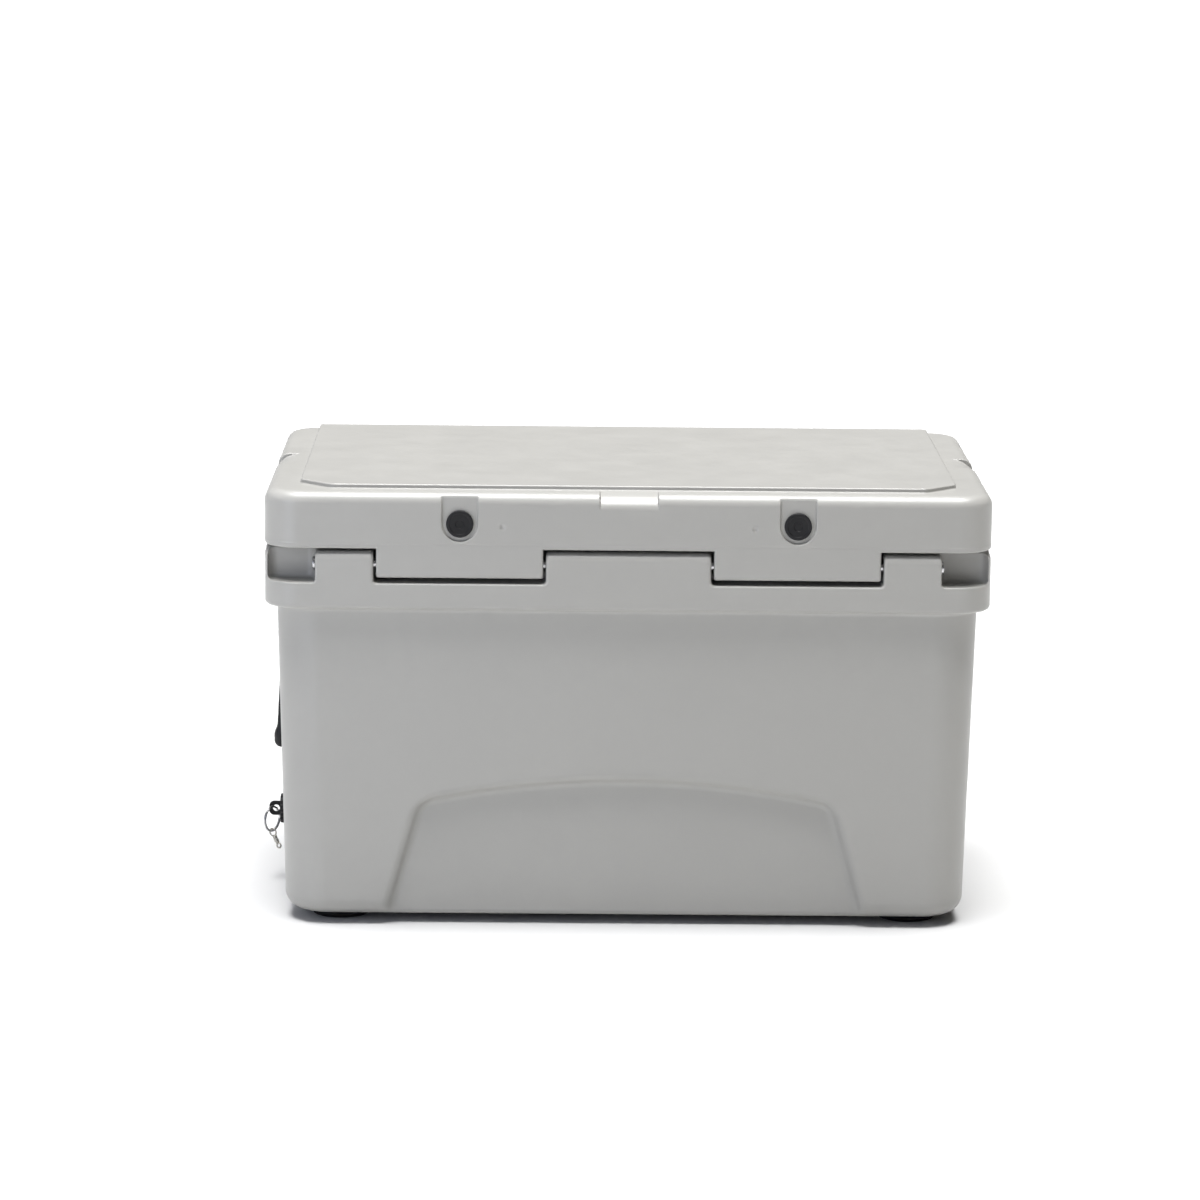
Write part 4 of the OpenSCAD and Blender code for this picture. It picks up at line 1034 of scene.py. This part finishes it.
lathe("key_ring", [split_ring()], "ring", "steel", STEEL, "plug_ring")
SWIVEL_LEAN = math.radians(30)
down = math.sin(SWIVEL_LEAN) * ring_x - math.cos(SWIVEL_LEAN) * np.array((0, 0, 1))
EYE_R = 3.55
SWIVEL_WIRE = 0.75
BARREL_L = 8.0
LOOP_R = 2.25
barrel_points, barrel_faces = turned(rounded([
    (0, 0), (1.3, 0, 0.3), (2.1, 0.9, 0.5), (2.1, 2.4, 0.3), (1.75, 2.8, 0.2), (1.75, 3.3, 0.2),
    (2.1, 3.7, 0.3), (2.1, 5.9, 0.3), (1.75, 6.2, 0.2), (1.75, 6.6, 0.2), (2.0, 7.0, 0.3),
    (1.5, BARREL_L, 0.4), (0, BARREL_L)], 0.3), 40)
barrel = place(barrel_points, EYE + down * EYE_R, down), barrel_faces
lathe("swivel_barrel", [barrel], "swivel", "nickel", NICKEL, "ring_swivel")
lathe("swivel_eye", [wire_loop(EYE, ring_y, EYE_R, SWIVEL_WIRE)], "swivel", "nickel", NICKEL)
loop_mid = EYE + down * (EYE_R + BARREL_L + LOOP_R - 0.05)
lathe("swivel_loop", [wire_loop(loop_mid, ring_y, LOOP_R, SWIVEL_WIRE)], "swivel", "nickel", NICKEL)

# ---- CAD nodes that stay ----

for node in ("body_foam", "lid_foam"):
    mesh = frame["nodes"][node].data
    mesh.materials.clear()
    mesh.materials.append(FOAM)

# ---- Stage ----

FLOOR_HALF = 40.0
FLOOR_UNDER = -0.0002


def floor():
    """Plain pale floor, wide enough to be the backdrop too."""
    paint = Paint("floor_look", (0.60, 0.60, 0.60), 0.75, specular=0.25)
    paint.tint(paint.noise(2, 2), (0.59, 0.59, 0.59), 1.0)
    paint.vary_roughness(paint.noise(12, 3), 0.05)
    signs = ((-1, -1), (1, -1), (1, 1), (-1, 1))
    corners = [(sx * FLOOR_HALF, sy * FLOOR_HALF, FLOOR_UNDER) for sx, sy in signs]
    mesh = bpy.data.meshes.new("floor")
    mesh.from_pydata(corners, [], [(0, 1, 2, 3)])
    mesh.materials.append(paint.material)
    obj = bpy.data.objects.new("floor", mesh)
    bpy.context.scene.collection.objects.link(obj)


def softbox(name, where, towards, size, power, colour):
    """Rectangular area light aimed at a point."""
    data = bpy.data.lights.new(name, "AREA")
    data.shape = "RECTANGLE"
    data.size, data.size_y = size
    data.energy = power
    data.color = colour
    obj = bpy.data.objects.new(name, data)
    obj.location = where
    obj.rotation_euler = (Vector(towards) - Vector(where)).to_track_quat("-Z", "Y").to_euler()
    bpy.context.scene.collection.objects.link(obj)


def sky():
    """Studio walls: a cool bright one on the left, a dim warm one on the right, dark overhead."""
    world = bpy.data.worlds.new("studio")
    bpy.context.scene.world = world
    world.use_nodes = True
    nodes, links = world.node_tree.nodes, world.node_tree.links
    background = nodes["Background"]
    coords = nodes.new("ShaderNodeTexCoord")
    parts = nodes.new("ShaderNodeSeparateXYZ")
    links.new(coords.outputs["Generated"], parts.inputs["Vector"])

    def ramp(axis, start, end, low, high):
        node = nodes.new("ShaderNodeMapRange")
        node.inputs["From Min"].default_value = start
        node.inputs["From Max"].default_value = end
        node.inputs["To Min"].default_value = low
        node.inputs["To Max"].default_value = high
        links.new(parts.outputs[axis], node.inputs["Value"])
        return node.outputs["Result"]

    strength = nodes.new("ShaderNodeMath")
    strength.operation = "MULTIPLY"
    links.new(ramp("Z", 0.10, 0.75, SKY_LOW, SKY_HIGH), strength.inputs[0])
    links.new(ramp("X", -0.9, 0.9, SKY_LEFT, SKY_RIGHT), strength.inputs[1])
    links.new(strength.outputs["Value"], background.inputs["Strength"])
    colour = nodes.new("ShaderNodeMix")
    colour.data_type = "RGBA"
    colour.inputs["A"].default_value = (*LEFT_COLOUR, 1)
    colour.inputs["B"].default_value = (*RIGHT_COLOUR, 1)
    links.new(ramp("X", -0.9, 0.9, 0, 1), colour.inputs["Factor"])
    links.new(colour.outputs["Result"], background.inputs["Color"])


def overhead(strength, spread_deg, lean):
    """Broad even light from above, the same all over the floor."""
    data = bpy.data.lights.new("overhead", "SUN")
    data.energy = strength
    data.angle = math.radians(spread_deg)
    obj = bpy.data.objects.new("overhead", data)
    obj.rotation_euler = (math.radians(lean[0]), math.radians(lean[1]), 0)
    bpy.context.scene.collection.objects.link(obj)


SKY_LOW = 0.26
SKY_HIGH = 0.30
SKY_LEFT = 1.1
SKY_RIGHT = 0.05
LEFT_COLOUR = (0.93, 0.96, 1.07)
RIGHT_COLOUR = (1.04, 1.0, 0.90)
floor()
sky()
overhead(7.2, 40, (2, 0))
softbox("left_window", (-1.0, -1.25, 0.55), (-0.25, 0, 0.15), (0.6, 0.8), 4.4, (0.84, 0.92, 1.12))

# ---- Camera ----

CAMERA_AT = Vector((-0.06743, -4.2416, 1.0453)) + Vector(MIDDLE * MM)
CAMERA_YAW = 0.01043
CAMERA_PITCH = 0.18127
CAMERA_ROLL = 0.01035
SENSOR = 36.0
LENS = 137.5


def camera():
    """Camera on the hinge side, a little above the lid."""
    yaw, pitch, roll = CAMERA_YAW, CAMERA_PITCH, CAMERA_ROLL
    ahead = Vector((math.sin(yaw) * math.cos(pitch), math.cos(yaw) * math.cos(pitch), -math.sin(pitch)))
    level_right = Vector((math.cos(yaw), -math.sin(yaw), 0))
    level_up = level_right.cross(ahead)
    right = level_right * math.cos(roll) + level_up * math.sin(roll)
    up = level_up * math.cos(roll) - level_right * math.sin(roll)
    data = bpy.data.cameras.new("camera")
    data.sensor_width = SENSOR
    data.lens = LENS
    data.clip_start, data.clip_end = 0.05, 200
    obj = bpy.data.objects.new("camera", data)
    turn = Matrix((right, up, -ahead)).transposed().to_4x4()
    obj.matrix_world = Matrix.Translation(CAMERA_AT) @ turn
    bpy.context.scene.collection.objects.link(obj)
    bpy.context.scene.camera = obj


camera()
bpy.context.scene.view_settings.view_transform = "Standard"
bpy.context.scene.view_settings.look = "None"
